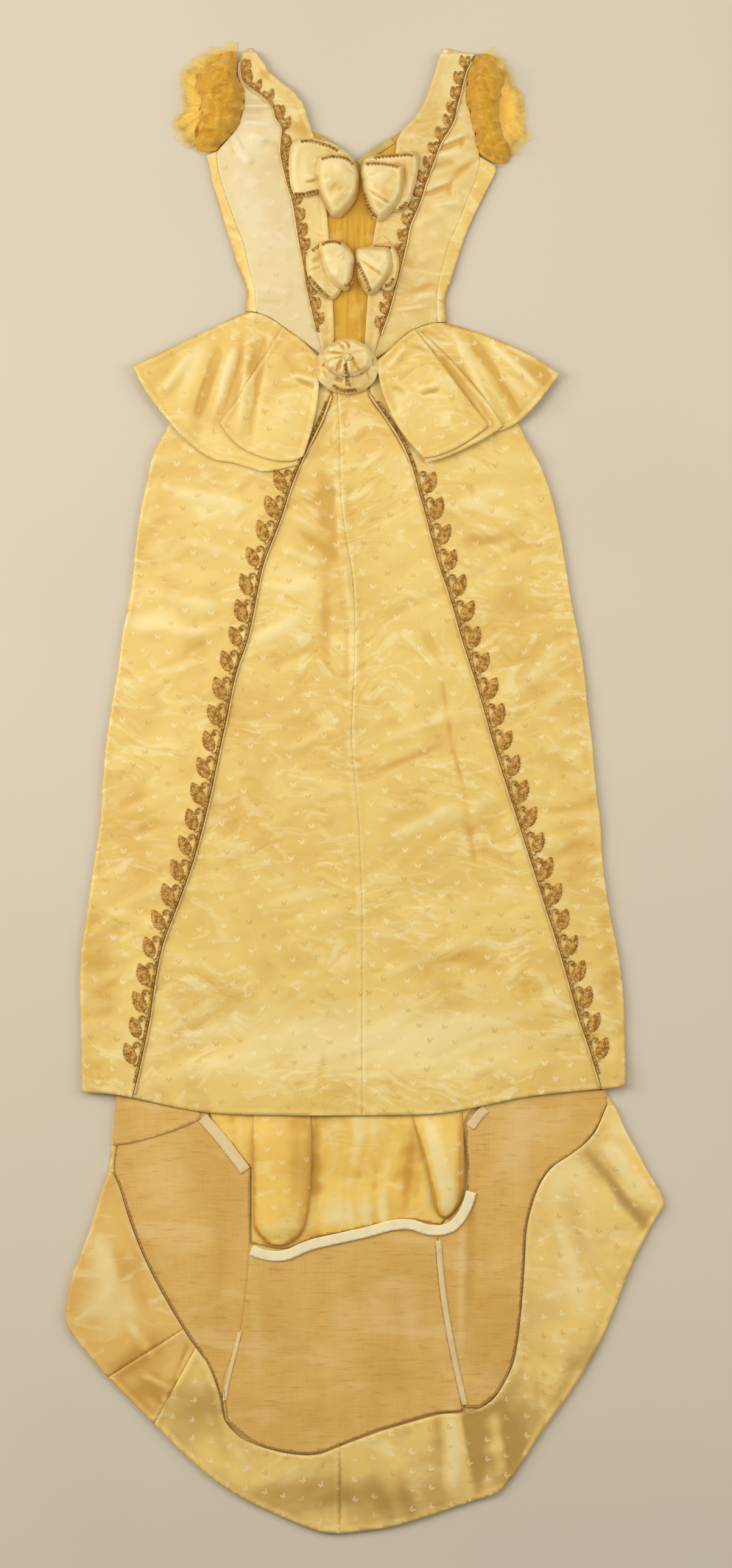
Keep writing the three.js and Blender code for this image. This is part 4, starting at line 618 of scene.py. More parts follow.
def rows_inside(rim, pitch):
    """Evenly spread points inside a closed line, on a triangular grid."""
    p, q = rim[:, :2], np.roll(rim[:, :2], -1, axis=0)
    rise = pitch * math.sqrt(3) / 2
    found = []
    for j in range(math.ceil(p[:, 1].min() / rise), math.ceil(p[:, 1].max() / rise)):
        y = j * rise + 1e-4
        cut = (p[:, 1] > y) != (q[:, 1] > y)
        t = (y - p[cut, 1]) / (q[cut, 1] - p[cut, 1])
        xs = np.sort(p[cut, 0] + t * (q[cut, 0] - p[cut, 0]))
        shift = pitch / 2 * (j % 2)
        for a, b in zip(xs[0::2], xs[1::2]):
            i = np.arange(math.ceil((a - shift) / pitch), math.floor((b - shift) / pitch) + 1)
            found += [(x, y) for x in i * pitch + shift]
    return found


def softened(values, rounds):
    """A row of numbers evened out between its ends, rounds times."""
    values = values.copy()
    for _ in range(rounds):
        values[1:-1] = (values[:-2] + 2 * values[1:-1] + values[2:]) / 4
    return values


def netted(rim, inner):
    """A net of triangles in plan, on a closed line and the points inside it."""
    flat = [Vector(p[:2]) for p in rim] + [Vector(p) for p in inner]
    edges = [(i, (i + 1) % len(rim)) for i in range(len(rim))]
    return delaunay_2d_cdt(flat, edges, [], 1, 1e-4)


def nearest_tree(points):
    tree = KDTree(len(points))
    for i, p in enumerate(points):
        tree.insert((p[0], p[1], 0), i)
    tree.balance()
    return tree


def spread_mean(values, pairs, fixed, rounds):
    """Evens out a height over a net of points, rounds times."""
    a, b = pairs[:, 0], pairs[:, 1]
    count = len(values)
    share = np.bincount(a, minlength=count) + np.bincount(b, minlength=count)
    for _ in range(rounds):
        total = np.bincount(a, values[b], count) + np.bincount(b, values[a], count)
        mean = total / np.maximum(share, 1)
        values = np.where(fixed, values, 0.4 * values + 0.6 * mean)
    return values


class Piece:
    """Points in mm, faces and their finishes, gathered for one object."""

    def __init__(self):
        self.points = []
        self.faces = []
        self.finish = []
        self.count = 0

    def add(self, points, faces, finish=0):
        self.points.append(np.asarray(points, float))
        self.faces += [tuple(int(i) + self.count for i in face) for face in faces]
        self.finish += [finish] * len(faces)
        self.count += len(points)

    def make(self, name, finishes, tints=None):
        """An object of that name; tints are each point's painted shading, painted shade where
        above 0 and painted highlight where below 0 (on a frill, its share of the way out, which
        also thins it).
        """
        mesh = bpy.data.meshes.new(name)
        points = np.concatenate(self.points) * MM
        mesh.from_pydata(points.tolist(), [], self.faces)
        for finish in finishes:
            mesh.materials.append(finish)
        mesh.polygons.foreach_set("material_index", self.finish)
        mesh.polygons.foreach_set("use_smooth", [True] * len(mesh.polygons))
        if tints is not None:
            layer = mesh.attributes.new("hollow", "FLOAT", "POINT")
            layer.data.foreach_set("value", tints.astype(np.float32))
        mesh.validate()
        mesh.update()
        obj = bpy.data.objects.new(name, mesh)
        bpy.context.scene.collection.objects.link(obj)
        return obj


def wound_up(faces, spots):
    """Faces of a plan, turned so that they look upward."""
    out = []
    for face in faces:
        a, b, c = (spots[i] for i in face[:3])
        area = (b[0] - a[0]) * (c[1] - a[1]) - (b[1] - a[1]) * (c[0] - a[0])
        out.append(tuple(face) if area > 0 else tuple(reversed(face)))
    return out


def doubled(top, base, faces):
    """A closed sheet between two layers of points that share their faces."""
    piece = Piece()
    piece.add(top, faces)
    piece.add(base, [tuple(reversed(f)) for f in faces])
    count = len(top)
    edges = {(f[k], f[(k + 1) % len(f)]) for f in faces for k in range(len(f))}
    sides = [(b, a, a + count, b + count) for a, b in edges if (b, a) not in edges]
    sides.sort()
    piece.faces += sides
    piece.finish += [0] * len(sides)
    return piece


def shell(
    name,
    pitch,
    relief=plain_relief,
    wall=1.2,
    heap=0.0,
    even=8,
    roll=0.0,
    tones=(),
    grow=0.3,
    soften=0,
    ragged=0.0,
):
    """Fine cloth on a node's own form, net pitch mm apart, wall mm thick.

    heap is the roundness of a stuffed edge in mm, roll the height of a turned edge, grow and
    ragged move the outline outward, and even and soften are rounds of evening out.
    """
    points, triangles = solid_of(name)
    tree = BVHTree.FromPolygons(points.tolist(), triangles.tolist())
    rim = rim_of(points, triangles, pitch)
    for _ in range(soften):
        rim = (np.roll(rim, 1, axis=0) + 2 * rim + np.roll(rim, -1, axis=0)) / 4
    uneven = 2 * lattice(rim[:, 0] / 7, rim[:, 1] / 7, 77) - 1
    rim = grown(rim, grow + ragged * uneven[:, None])
    rim_tree = nearest_tree(rim)
    inner = [
        p for p in rows_inside(rim, pitch) if rim_tree.find((p[0], p[1], 0))[2] > pitch * 0.55
    ]
    spots, links, faces, origin, _, _ = netted(rim, inner)
    xy = np.array([(p.x, p.y) for p in spots])
    away = np.array([rim_tree.find((x, y, 0))[2] for x, y in xy])
    high = np.empty(len(xy))
    low = np.empty(len(xy))
    middle = rim[:, :2].mean(0)
    for i, (x, y) in enumerate(xy):
        from_rim = origin[i] and origin[i][0] < len(rim)
        if from_rim:
            at = rim[origin[i][0]]
            high[i] = at[2]
            pull = middle - at[:2]
            step = 0.8 + max(grow, 0.0) + ragged
            x, y = at[:2] + pull / max(np.linalg.norm(pull), 1e-6) * step
        hit = tree.ray_cast(Vector((x, y, HIGH)), DOWN)[0]
        under = tree.ray_cast(Vector((x, y, -HIGH)), UP)[0]
        if hit is None:
            hit = tree.find_nearest(Vector((x, y, HIGH / 10)))[0]
            under = None
        if not from_rim:
            high[i] = hit.z
        low[i] = under.z if under is not None else hit.z - wall
    pairs = np.array(links)
    fixed = away < pitch * 0.3
    high = spread_mean(high, pairs, fixed, even)
    free = np.zeros(len(low), bool)
    low = spread_mean(low, pairs, free, 4)
    lift = relief(xy[:, 0], xy[:, 1])
    if heap:
        q = np.clip(away / heap, 0, 1)
        high = low + 0.4 + np.maximum(high - low - 0.4, 0) * np.sqrt(1 - (1 - q) ** 2)
        high += lift * np.sqrt(q)
        base = low
    else:
        high = high + lift
        if roll:
            high += roll * np.exp(-(((away - 3) / 2.6) ** 2))
            high -= 0.5 * roll * np.exp(-(((away - 8) / 1.4) ** 2))
        base = high - wall
    wide, near = spread_mean(high, pairs, free, 14), spread_mean(high, pairs, free, 2)
    up = wound_up(faces, xy)
    top = np.column_stack([xy, high])
    piece = doubled(top, np.column_stack([xy, base]), up)
    SURFACES[name] = BVHTree.FromPolygons(top.tolist(), up)
    # painted shade where the cloth lies below its surroundings, painted highlight where it stands
    # above them, plus the listed painted spots
    form = (wide - near) * TROUGH_SHADE_GAIN * (ease(away, 0, heap) if heap else 1.0)
    hollow = np.clip(form + painted_shading_spots(xy[:, 0], xy[:, 1], tones), -1, 1)
    return piece, np.concatenate([hollow, hollow])


def height_at(x, y, names):
    """The top of the finished cloth under a point, in mm."""
    found = [
        hit.z
        for hit in (SURFACES[n].ray_cast(Vector((x, y, HIGH)), DOWN)[0] for n in names)
        if hit is not None
    ]
    return max(found) if found else None


def settled(points, names, spare):
    """Points with heights over flat cloth, laid on the cloth below them."""
    out = []
    last = spare
    for x, y, z in points:
        under = height_at(x, y, names)
        last = last if under is None else under
        out.append((x, y, z + last + LAID))
    return out


# ---------------------------------------------------------------- small forms


def tube(path, radius, sides=6, beats=0.0):
    """A round thread along a path; beats swells it like a twisted strand."""
    path = np.asarray(path, float)
    tangent = np.gradient(path, axis=0)
    tangent /= np.maximum(np.linalg.norm(tangent, axis=1, keepdims=True), 1e-9)
    across = np.cross(tangent, (0, 0, 1))
    across /= np.maximum(np.linalg.norm(across, axis=1, keepdims=True), 1e-9)
    over = np.cross(across, tangent)
    run = np.concatenate([[0], np.cumsum(np.linalg.norm(np.diff(path, axis=0), axis=1))])
    points = []
    for i, centre in enumerate(path):
        r = radius * (1 + (0.28 * math.sin(run[i] * beats) if beats else 0))
        for k in range(sides):
            a = 2 * math.pi * k / sides
            points.append(centre + r * (math.cos(a) * across[i] + math.sin(a) * over[i]))
    faces = []
    for i in range(len(path) - 1):
        for k in range(sides):
            a, b = i * sides + k, i * sides + (k + 1) % sides
            faces.append((a, a + sides, b + sides, b))
    faces.append(tuple(range(sides)))
    faces.append(tuple(reversed(range(len(points) - sides, len(points)))))
    return points, faces


def bead(x, y, z, radius):
    """A small faceted bead."""
    ring = [(math.cos(a), math.sin(a)) for a in np.arange(5) * 2 * math.pi / 5]
    points = [(x, y, z - radius)]
    wide = radius * 0.89
    for level in (z - radius * 0.45, z + radius * 0.45):
        points += [(x + wide * c, y + wide * s, level) for c, s in ring]
    points.append((x, y, z + radius))
    faces = []
    for k in range(5):
        n = (k + 1) % 5
        faces += [(0, 1 + n, 1 + k), (1 + k, 1 + n, 6 + n, 6 + k), (6 + k, 6 + n, 11)]
    return points, faces


def turned(points, angle, x, y, scale=1.0):
    c, s = math.cos(angle) * scale, math.sin(angle) * scale
    return [(x + c * px - s * py, y + s * px + c * py, pz) for px, py, pz in points]


def flowing(line, pitch=3.0):
    """A smooth open line through a few plan points."""
    line = np.asarray(line, float)[:, :2]
    ends = np.vstack([2 * line[0] - line[1], line, 2 * line[-1] - line[-2]])
    out = []
    for p0, p1, p2, p3 in zip(ends[:-3], ends[1:-2], ends[2:-1], ends[3:]):
        steps = max(1, round(np.linalg.norm(p2 - p1) / pitch))
        for t in np.arange(steps) / steps:
            bend = (2 * p0 - 5 * p1 + 4 * p2 - p3) * t + (3 * p1 - p0 - 3 * p2 + p3) * t * t
            out.append(p1 + 0.5 * t * (p2 - p0 + bend))
    return np.array([*out, line[-1]])


def spaced(line, pitch, shift=0.0):
    """Points along a plan line every pitch mm, each with its direction."""
    line = flowing(line)
    run = np.concatenate([[0], np.cumsum(np.linalg.norm(np.diff(line, axis=0), axis=1))])
    at = np.arange(shift, run[-1], pitch)
    x, y = np.interp(at, run, line[:, 0]), np.interp(at, run, line[:, 1])
    ahead = np.minimum(at + 2, run[-1])
    back = np.maximum(at - 2, 0)
    dx = np.interp(ahead, run, line[:, 0]) - np.interp(back, run, line[:, 0])
    dy = np.interp(ahead, run, line[:, 1]) - np.interp(back, run, line[:, 1])
    return [(a, b, math.atan2(d, c)) for a, b, c, d in zip(x, y, dx, dy)]


def leaf_form(long, wide, high, teeth=7):
    """A pointed serrated leaf lying flat, tip along +Y, with a midrib and side veins."""
    points, faces = [], []
    rows, columns = teeth * 4, 8
    for j in range(rows + 1):
        t = 0.015 + 0.97 * j / rows
        saw = (t * teeth) % 1.0
        half = 1.18 * wide * t**0.5 * (1 - t) ** 0.8 * (0.88 + 0.22 * saw)
        for k in range(columns + 1):
            u = 2 * k / columns - 1
            rib = math.exp(-((u / 0.16) ** 2))
            vein = abs(math.sin(math.pi * (t * teeth - abs(u) * 1.3)))
            z = high * (0.5 + 0.5 * rib + 0.45 * vein * (1 - u**4) - 0.2 * u * u)
            points.append((u * half, (t - 0.44) * long, z))
    wide_row = columns + 1
    for j in range(rows):
        for k in range(columns):
            i = j * wide_row + k
            faces.append((i, i + 1, i + 1 + wide_row, i + wide_row))
    rim = [j * wide_row + columns for j in range(rows + 1)]
    rim += [j * wide_row for j in range(rows, -1, -1)]
    top = len(points)
    points += [(points[i][0], points[i][1], 0.0) for i in rim]
    points.append((0, 0, 0))
    for i, at in enumerate(rim):
        n = (i + 1) % len(rim)
        faces.append((top + i, top + n, rim[n], at))
        faces.append((top + n, top + i, len(points) - 1))
    return points, faces


# a scroll beside a leaf, as shares of the leaf's length outward of the piping and upward
SCROLL = (
    (0.14, -0.06), (0.15, 0.12), (0.18, 0.36), (0.28, 0.54), (0.39, 0.58),
    (0.49, 0.51), (0.51, 0.40), (0.45, 0.32), (0.38, 0.36), (0.40, 0.42),
)
# beads of a leaf, as shares of its width and length from its middle
LEAF_BEADS = (
    (0.0, 0.40), (0.1, 0.28), (-0.12, 0.24), (0.22, 0.16), (-0.24, 0.12),
    (0.3, 0.02), (-0.33, 0.0), (0.3, -0.13), (-0.33, -0.12), (0.2, -0.26),
    (-0.22, -0.25), (0.0, -0.34), (0.05, 0.08), (-0.1, -0.08), (0.1, -0.18),
)


# ---------------------------------------------------------------- finishes


def arithmetic(operation):
    """An operator of Value and its reflected form."""

    def forward(self, other):
        return self._do(operation, self, other)

    def reflected(self, other):
        return self._do(operation, other, self)

    return forward, reflected


class Value:
    """One socket of a finish. Arithmetic on it adds Math nodes."""

    def __init__(self, finish, socket):
        self.finish = finish
        self.socket = socket

    def _do(self, operation, *values):
        settings = {"operation": operation}
        return self.finish.node("ShaderNodeMath", settings, dict(enumerate(values)))

    __add__, __radd__ = arithmetic("ADD")
    __sub__, __rsub__ = arithmetic("SUBTRACT")
    __mul__, __rmul__ = arithmetic("MULTIPLY")
    __truediv__, __rtruediv__ = arithmetic("DIVIDE")

    def __neg__(self):
        return self._do("MULTIPLY", self, -1.0)

    def __abs__(self):
        return self._do("ABSOLUTE", self)

    def fraction(self):
        return self._do("FRACT", self)

    def whole(self):
        return self._do("FLOOR", self)

    def even_odd(self):
        return self._do("MODULO", abs(self), 2.0)

    def wave(self):
        return self._do("SINE", self)

    def most(self, other):
        return self._do("MAXIMUM", self, other)

    def within(self, low, high):
        """From 0 at low to 1 at high, held at both ends, eased."""
        settings = {"interpolation_type": "SMOOTHSTEP"}
        values = {"Value": self, "From Min": low, "From Max": high}
        return self.finish.node("ShaderNodeMapRange", settings, values)


class Finish:
    """A material on one Principled shader, and the nodes that feed it."""

    def __init__(self, name, **fixed):
        self.material = bpy.data.materials.new(name)
        self.material.use_nodes = True
        self.tree = self.material.node_tree
        self.shader = self.tree.nodes["Principled BSDF"]
        for key, value in fixed.items():
            self.shader.inputs[key.replace("_", " ")].default_value = value

    def node(self, kind, settings, values, output=0):
        node = self.tree.nodes.new(kind)
        for key, value in settings.items():
            setattr(node, key, value)
        for key, value in values.items():
            self.join(node.inputs[key], value)
        return Value(self, node.outputs[output])

    def join(self, socket, value):
        if isinstance(value, Value):
            self.tree.links.new(value.socket, socket)
        elif isinstance(value, tuple) and len(value) == 3 and socket.type == "RGBA":
            socket.default_value = (*value, 1)
        else:
            socket.default_value = value

    def place(self):
        """Where a point lies on the gown, as x, y and z in mm."""
        where = self.node("ShaderNodeTexCoord", {}, {}, "Object")
        parts = self.tree.nodes.new("ShaderNodeSeparateXYZ")
        self.tree.links.new(where.socket, parts.inputs[0])
        return [Value(self, parts.outputs[i]) * 1000.0 for i in range(3)]

    def at(self, x, y):
        return self.node("ShaderNodeCombineXYZ", {}, {0: x, 1: y})

    def noise(self, vector, scale=1.0, detail=2.0, rough=0.5, warp=0.0):
        values = {"Vector": vector, "Scale": scale, "Detail": detail}
        values.update({"Roughness": rough, "Distortion": warp})
        return self.node("ShaderNodeTexNoise", {"noise_dimensions": "2D"}, values)

    def hollow(self):
        """The painted shading of a point, from -1 to 1: painted shade above 0, in a fold's trough
        and in listed dark spots, and painted highlight below 0, on a ridge and in listed light
        spots; on a frill, its share of the way out to its edge.
        """
        return self.node("ShaderNodeAttribute", {"attribute_name": "hollow"}, {}, "Fac")

    def blend(self, factor, first, second):
        """From the first colour to the second as the factor goes from 0 to 1."""
        settings = {"data_type": "RGBA", "clamp_factor": True}
        return self.node("ShaderNodeMix", settings, {0: factor, 6: first, 7: second}, 2)

    def bump(self, height, strength, distance):
        values = {"Height": height, "Strength": strength, "Distance": distance * MM}
        return self.node("ShaderNodeBump", {}, values)

    def wear(self, **varying):
        for key, value in varying.items():
            self.join(self.shader.inputs[key.replace("_", " ")], value)
        return self.material


def sheen(weight, rough, tint):
    """The soft bloom of a cloth, as settings of its shader."""
    return {"Sheen_Weight": weight, "Sheen_Roughness": rough, "Sheen_Tint": (*tint, 1)}


def petal(u, v, across, along, wide, long, turn=0.0):
    """An oval of a figured weave: 1 inside, 0 outside, at a place in its repeat."""
    c, s = math.cos(math.radians(turn)), math.sin(math.radians(turn))
    a = ((u - across) * c + (v - along) * s) / wide
    b = ((v - along) * c - (u - across) * s) / long
    return (1.0 - (a * a + b * b)).within(-0.2, 0.95)


def sprig_weave(u, v):
    """The little winged sprig, in half-drop columns."""
    column = u / SPRIG_ACROSS
    index = column.whole()
    across = (column - index - 0.5) * SPRIG_ACROSS
    row = v / SPRIG_ALONG + index.even_odd() * 0.5
    along = (row.fraction() - 0.5) * SPRIG_ALONG
    wing = petal(abs(across), along, 2.3, 0.9, 1.5, 3.0, -34)
    low_wing = petal(abs(across), along, 1.7, -1.9, 1.2, 1.7, 48)
    stem = petal(across, along, 0.0, -1.2, 0.8, 2.7)
    return wing.most(low_wing).most(stem)


def satin_finish(name, colour, deep, light, turn=0.0, figured=1.0, rumpled=1.0):
    """Silk satin: soft colour drift, painted shade in troughs and painted highlight on ridges,
    painted sheen in patches and painted highlight and shade along crumpled streaks, with a figured
    sprig whose thread has painted sheen.
    """
    bloom = sheen(0.12, 0.4, (1.0, 0.9, 0.6))
    finish = Finish(name, Specular_IOR_Level=0.6, Specular_Tint=(1.0, 0.9, 0.66, 1), **bloom)
    x, y, _ = finish.place()
    c, s = math.cos(math.radians(turn)), math.sin(math.radians(turn))
    spot = finish.at(x, y)
    stray = (finish.noise(spot, 0.012, 2.0) - 0.5) * 14.0
    u = x * c + y * s + stray
    v = y * c - x * s
    broad = finish.noise(spot, 0.009, 3.0, 0.55, 0.6)
    painted_sheen_patch = finish.noise(finish.at(x * 0.018, y * 0.045), 1.0, 3.0, 0.6, 0.8)
    hollow = finish.hollow()
    bend = (finish.noise(spot, 0.006, 2.0) - 0.5) * 140.0
    across = y + bend
    streak = finish.noise(finish.at(x * 0.024 + y * 0.008, across * 0.075), 1.0, 4.0, 0.6, 0.4)
    where = finish.noise(finish.at(x + 300.0, y), 0.0085, 2.0, 0.6).within(0.42, 0.6)
    base = finish.blend(broad.within(0.35, 0.68) * 0.35, colour, deep)
    # painted sheen: paler satin in soft noise patches
    base = finish.blend(painted_sheen_patch.within(0.52, 0.75) * 0.45, base, light)
    # painted highlight and painted shade along the crumpled streaks, where the streaks also raise
    # a bump
    base = finish.blend(streak.within(0.52, 0.66) * where * (0.55 * rumpled), base, light)
    base = finish.blend((1.0 - streak).within(0.54, 0.7) * where * (0.4 * rumpled), base, deep)
    # painted shade in troughs and painted highlight on ridges, from each point's painted shading
    base = finish.blend(hollow.within(0.0, 0.9) * 0.85, base, deep)
    base = finish.blend((-hollow).within(0.0, 1.0) * 0.7, base, light)
    rough = 0.31 + painted_sheen_patch * 0.12
    weave = (u * 9.0).wave() * 0.25 + finish.noise(finish.at(u * 3.0, v * 0.25), 1.0, 2.0)
    height = weave * 0.25 + streak * (4.0 * rumpled) * where
    if figured:
        sprig = sprig_weave(u, v)
        # the sprig's thread is pale where it would catch the light and dark brown elsewhere:
        # painted sheen and painted shade set by noise
        sprig_painted_shade = finish.noise(spot, 0.02, 1.0).within(0.42, 0.62)
        thread = finish.blend(sprig_painted_shade, (0.95, 0.84, 0.52), (0.56, 0.34, 0.08))
        base = finish.blend(sprig * (0.5 * figured), base, thread)
        rough = rough + sprig * 0.12
        height = height + sprig * 0.8
    normal = finish.bump(height, 0.22, 0.35)
    return finish.wear(Base_Color=base, Roughness=rough, Normal=normal)


def canvas_finish(name, colour, dark, pale, stain):
    """Coarse interlining linen: cross threads, slubs along the width and rust marks, with painted
    shade in troughs and painted highlight on ridges.
    """
    finish = Finish(name, Specular_IOR_Level=0.2)
    x, y, _ = finish.place()
    slub = finish.noise(finish.at(x * 0.03, y * 0.42), 1.0, 4.0, 0.65)
    warp = finish.noise(finish.at(x * 0.5, y * 0.02), 1.0, 3.0, 0.6)
    threads = (x * 4.2).wave() * 0.5 + (y * 4.2).wave() * 0.5
    broad = finish.noise(finish.at(x, y), 0.008, 3.0, 0.6)
    mark = finish.noise(finish.at(x * 0.03, y * 0.24), 1.0, 5.0, 0.7, 0.3)
    base = finish.blend(slub.within(0.46, 0.72) * 0.28, colour, dark)
    base = finish.blend(warp.within(0.5, 0.72) * 0.22, base, dark)
    base = finish.blend(broad.within(0.42, 0.66) * 0.35, base, dark)
    haze = finish.noise(finish.at(x * 0.006, y * 0.02), 1.0, 3.0, 0.6, 0.4)
    base = finish.blend(haze.within(0.5, 0.7) * 0.45, base, pale)
    # painted shade in troughs and painted highlight on ridges and in the listed painted spots
    base = finish.blend(finish.hollow().within(0.0, 0.9) * 0.55, base, dark)
    base = finish.blend((-finish.hollow()).within(0.0, 0.9) * 0.6, base, pale)
    base = finish.blend(mark.within(0.52, 0.82) * 0.6, base, stain)
    normal = finish.bump(threads * 0.4 + slub * 1.2 + warp * 0.5, 0.45, 0.6)
    return finish.wear(Base_Color=base, Roughness=0.86 + slub * 0.1, Normal=normal)


def tape_finish(name, colour, dark):
    """Plain cotton tape with fine ribs."""
    finish = Finish(name, Specular_IOR_Level=0.25)
    x, y, _ = finish.place()
    ribs = (x * 3.0).wave() * 0.5 + (y * 5.0).wave() * 0.5
    age = finish.noise(finish.at(x, y), 0.03, 3.0, 0.6)
    base = finish.blend(age.within(0.4, 0.75) * 0.6, colour, dark)
    normal = finish.bump(ribs, 0.3, 0.4)
    return finish.wear(Base_Color=base, Roughness=0.8 + age * 0.1, Normal=normal)


def vest_finish(name, colour, dark, light):
    """Old velvet of the front panel: long vertical streaks of worn pile."""
    finish = Finish(name, Specular_IOR_Level=0.2, **sheen(0.4, 0.5, (1.0, 0.82, 0.4)))
    x, y, _ = finish.place()
    streak = finish.noise(finish.at(x * 0.16, y * 0.012), 1.0, 4.0, 0.6)
    blotch = finish.noise(finish.at(x, y), 0.035, 3.0, 0.6)
    base = finish.blend(streak.within(0.3, 0.62), dark, colour)
    base = finish.blend(blotch.within(0.5, 0.72) * 0.5, base, light)
    nap = finish.noise(finish.at(x, y * 0.4), 1.6, 3.0, 0.6)
    normal = finish.bump(nap + streak, 0.35, 0.5)
    return finish.wear(Base_Color=base, Roughness=0.62 + streak * 0.2, Normal=normal)


def tulle_finish(name, colour, deep, bright):
    """Silk net, seen as a soft grain, with painted shade in its troughs; bright is the painted
    highlight in noise-placed spots where its folds catch the light.
    """
    finish = Finish(name, Specular_IOR_Level=0.15, **sheen(0.5, 0.6, (1.0, 0.85, 0.45)))
    x, y, _ = finish.place()
    spot = finish.at(x, y)
    cloud = finish.noise(spot, 0.05, 4.0, 0.62, 0.5)
    strand = finish.noise(finish.at(x * 0.5, y * 0.16), 1.0, 4.0, 0.7, 1.2)
    mesh_a = ((x + y) * 3.3).wave()
    mesh_b = ((x - y) * 3.3).wave()
    net = (mesh_a * mesh_b).within(-0.7, 0.7)
    fluff = finish.noise(spot, 0.11, 4.0, 0.62, 0.2)
    base = finish.blend(cloud.within(0.4, 0.68) * 0.75, colour, deep)
    base = finish.blend(strand.within(0.55, 0.75) * 0.45, base, deep)
    # painted highlight in noise-placed spots
    base = finish.blend(fluff.within(0.48, 0.74) * 0.6, base, bright)
    # painted shade in troughs
    base = finish.blend(finish.hollow().within(0.05, 0.8) * 0.75, base, deep)
    normal = finish.bump(strand + net * 0.3, 0.4, 0.6)
    return finish.wear(Base_Color=base, Roughness=0.75 + cloud * 0.2, Normal=normal)


def frill_finish(name, colour, deep):
    """Loose silk net that thins out towards its edge, with painted shade towards the armhole and
    in its ruffles' troughs, and a faint glow of painted light.
    """
    # painted light: a faint glow of the net's own colour stands in for light shining through it
    painted_glow = {"Emission_Color": (*colour, 1), "Emission_Strength": 0.16}
    bloom = sheen(0.4, 0.6, (1.0, 0.88, 0.5))
    finish = Finish(name, Specular_IOR_Level=0.1, **bloom, **painted_glow)
    x, y, _ = finish.place()
    spot = finish.at(x, y)
    edge = finish.hollow()
    cloud = finish.noise(spot, 0.07, 4.0, 0.65, 0.5)
    fluff = finish.noise(spot, 0.5, 4.0, 0.7, 0.8)
    base = finish.blend(cloud.within(0.4, 0.66) * 0.6, colour, deep)
    # painted shade towards the armhole and in the ruffles' troughs
    base = finish.blend((1.0 - edge).within(0.3, 0.75) * 0.8, base, deep)
    thin = (1.0 - edge).within(-0.1, 0.6) * 0.55 + 0.06
    alpha = thin * (0.55 + fluff * 0.9)
    normal = finish.bump(fluff, 0.4, 0.6)
    return finish.wear(Base_Color=base, Roughness=0.8 + fluff * 0.1, Normal=normal, Alpha=alpha)


def cord_finish(name, colour, dark):
    """Satin piping: smooth with slight slanting pulls."""
    finish = Finish(name, Sheen_Weight=0.1, Specular_IOR_Level=0.5)
    x, y, _ = finish.place()
    pulls = ((x + y * 0.8) * 1.1).wave()
    age = finish.noise(finish.at(x, y), 0.06, 3.0, 0.6)
    base = finish.blend(age.within(0.45, 0.7) * 0.5, colour, dark)
    base = finish.blend(pulls.within(0.6, 1.0) * 0.3, base, dark)
    normal = finish.bump(pulls, 0.25, 0.4)
    return finish.wear(Base_Color=base, Roughness=0.45 + age * 0.15, Normal=normal)


def metal_finish(name, colour, dark, metal, rough):
    """Tarnished gilt thread: wound ridges, dark between them."""
    finish = Finish(name, Specular_IOR_Level=0.5, Specular_Tint=(1.0, 0.8, 0.42, 1))
    x, y, z = finish.place()
    wound = ((x * 0.8 + y + z * 0.6) * 4.6).wave()
    tarnish = finish.noise(finish.at(x, y), 0.16, 4.0, 0.65)
    glint = finish.noise(finish.at(x, y), 0.9, 2.0, 0.6)
    base = finish.blend(tarnish.within(0.38, 0.62), dark, colour)
    base = finish.blend(wound.within(-0.2, 0.9) * 0.4, base, dark)
    normal = finish.bump(wound * 0.6 + glint, 0.55, 0.4)
    shine = {"Metallic": metal + glint * 0.1, "Roughness": rough + tarnish * 0.2}
    return finish.wear(Base_Color=base, Normal=normal, **shine)


def floor_finish(name, colour):
    """A plain matt surface, very slightly uneven in tone."""
    finish = Finish(name, Specular_IOR_Level=0.1)
    x, y, _ = finish.place()
    tone = finish.noise(finish.at(x, y), 0.0022, 2.0)
    base = finish.blend(tone.within(0.3, 0.7) * 0.25, colour, tuple(0.9 * c for c in colour))
    return finish.wear(Base_Color=base, Roughness=0.92 + tone * 0.05)


# ---------------------------------------------------------------- settings of the add-on


def colour_setting(name, note, value):
    return bpy.props.FloatVectorProperty(
        name=name, description=note, default=value, size=3, min=0, max=1, subtype="COLOR"
    )


def length_setting(name, note, value, low=0.1, high=60.0):
    return bpy.props.FloatProperty(
        name=name, description=note, default=value, min=low, max=high, subtype="DISTANCE"
    )


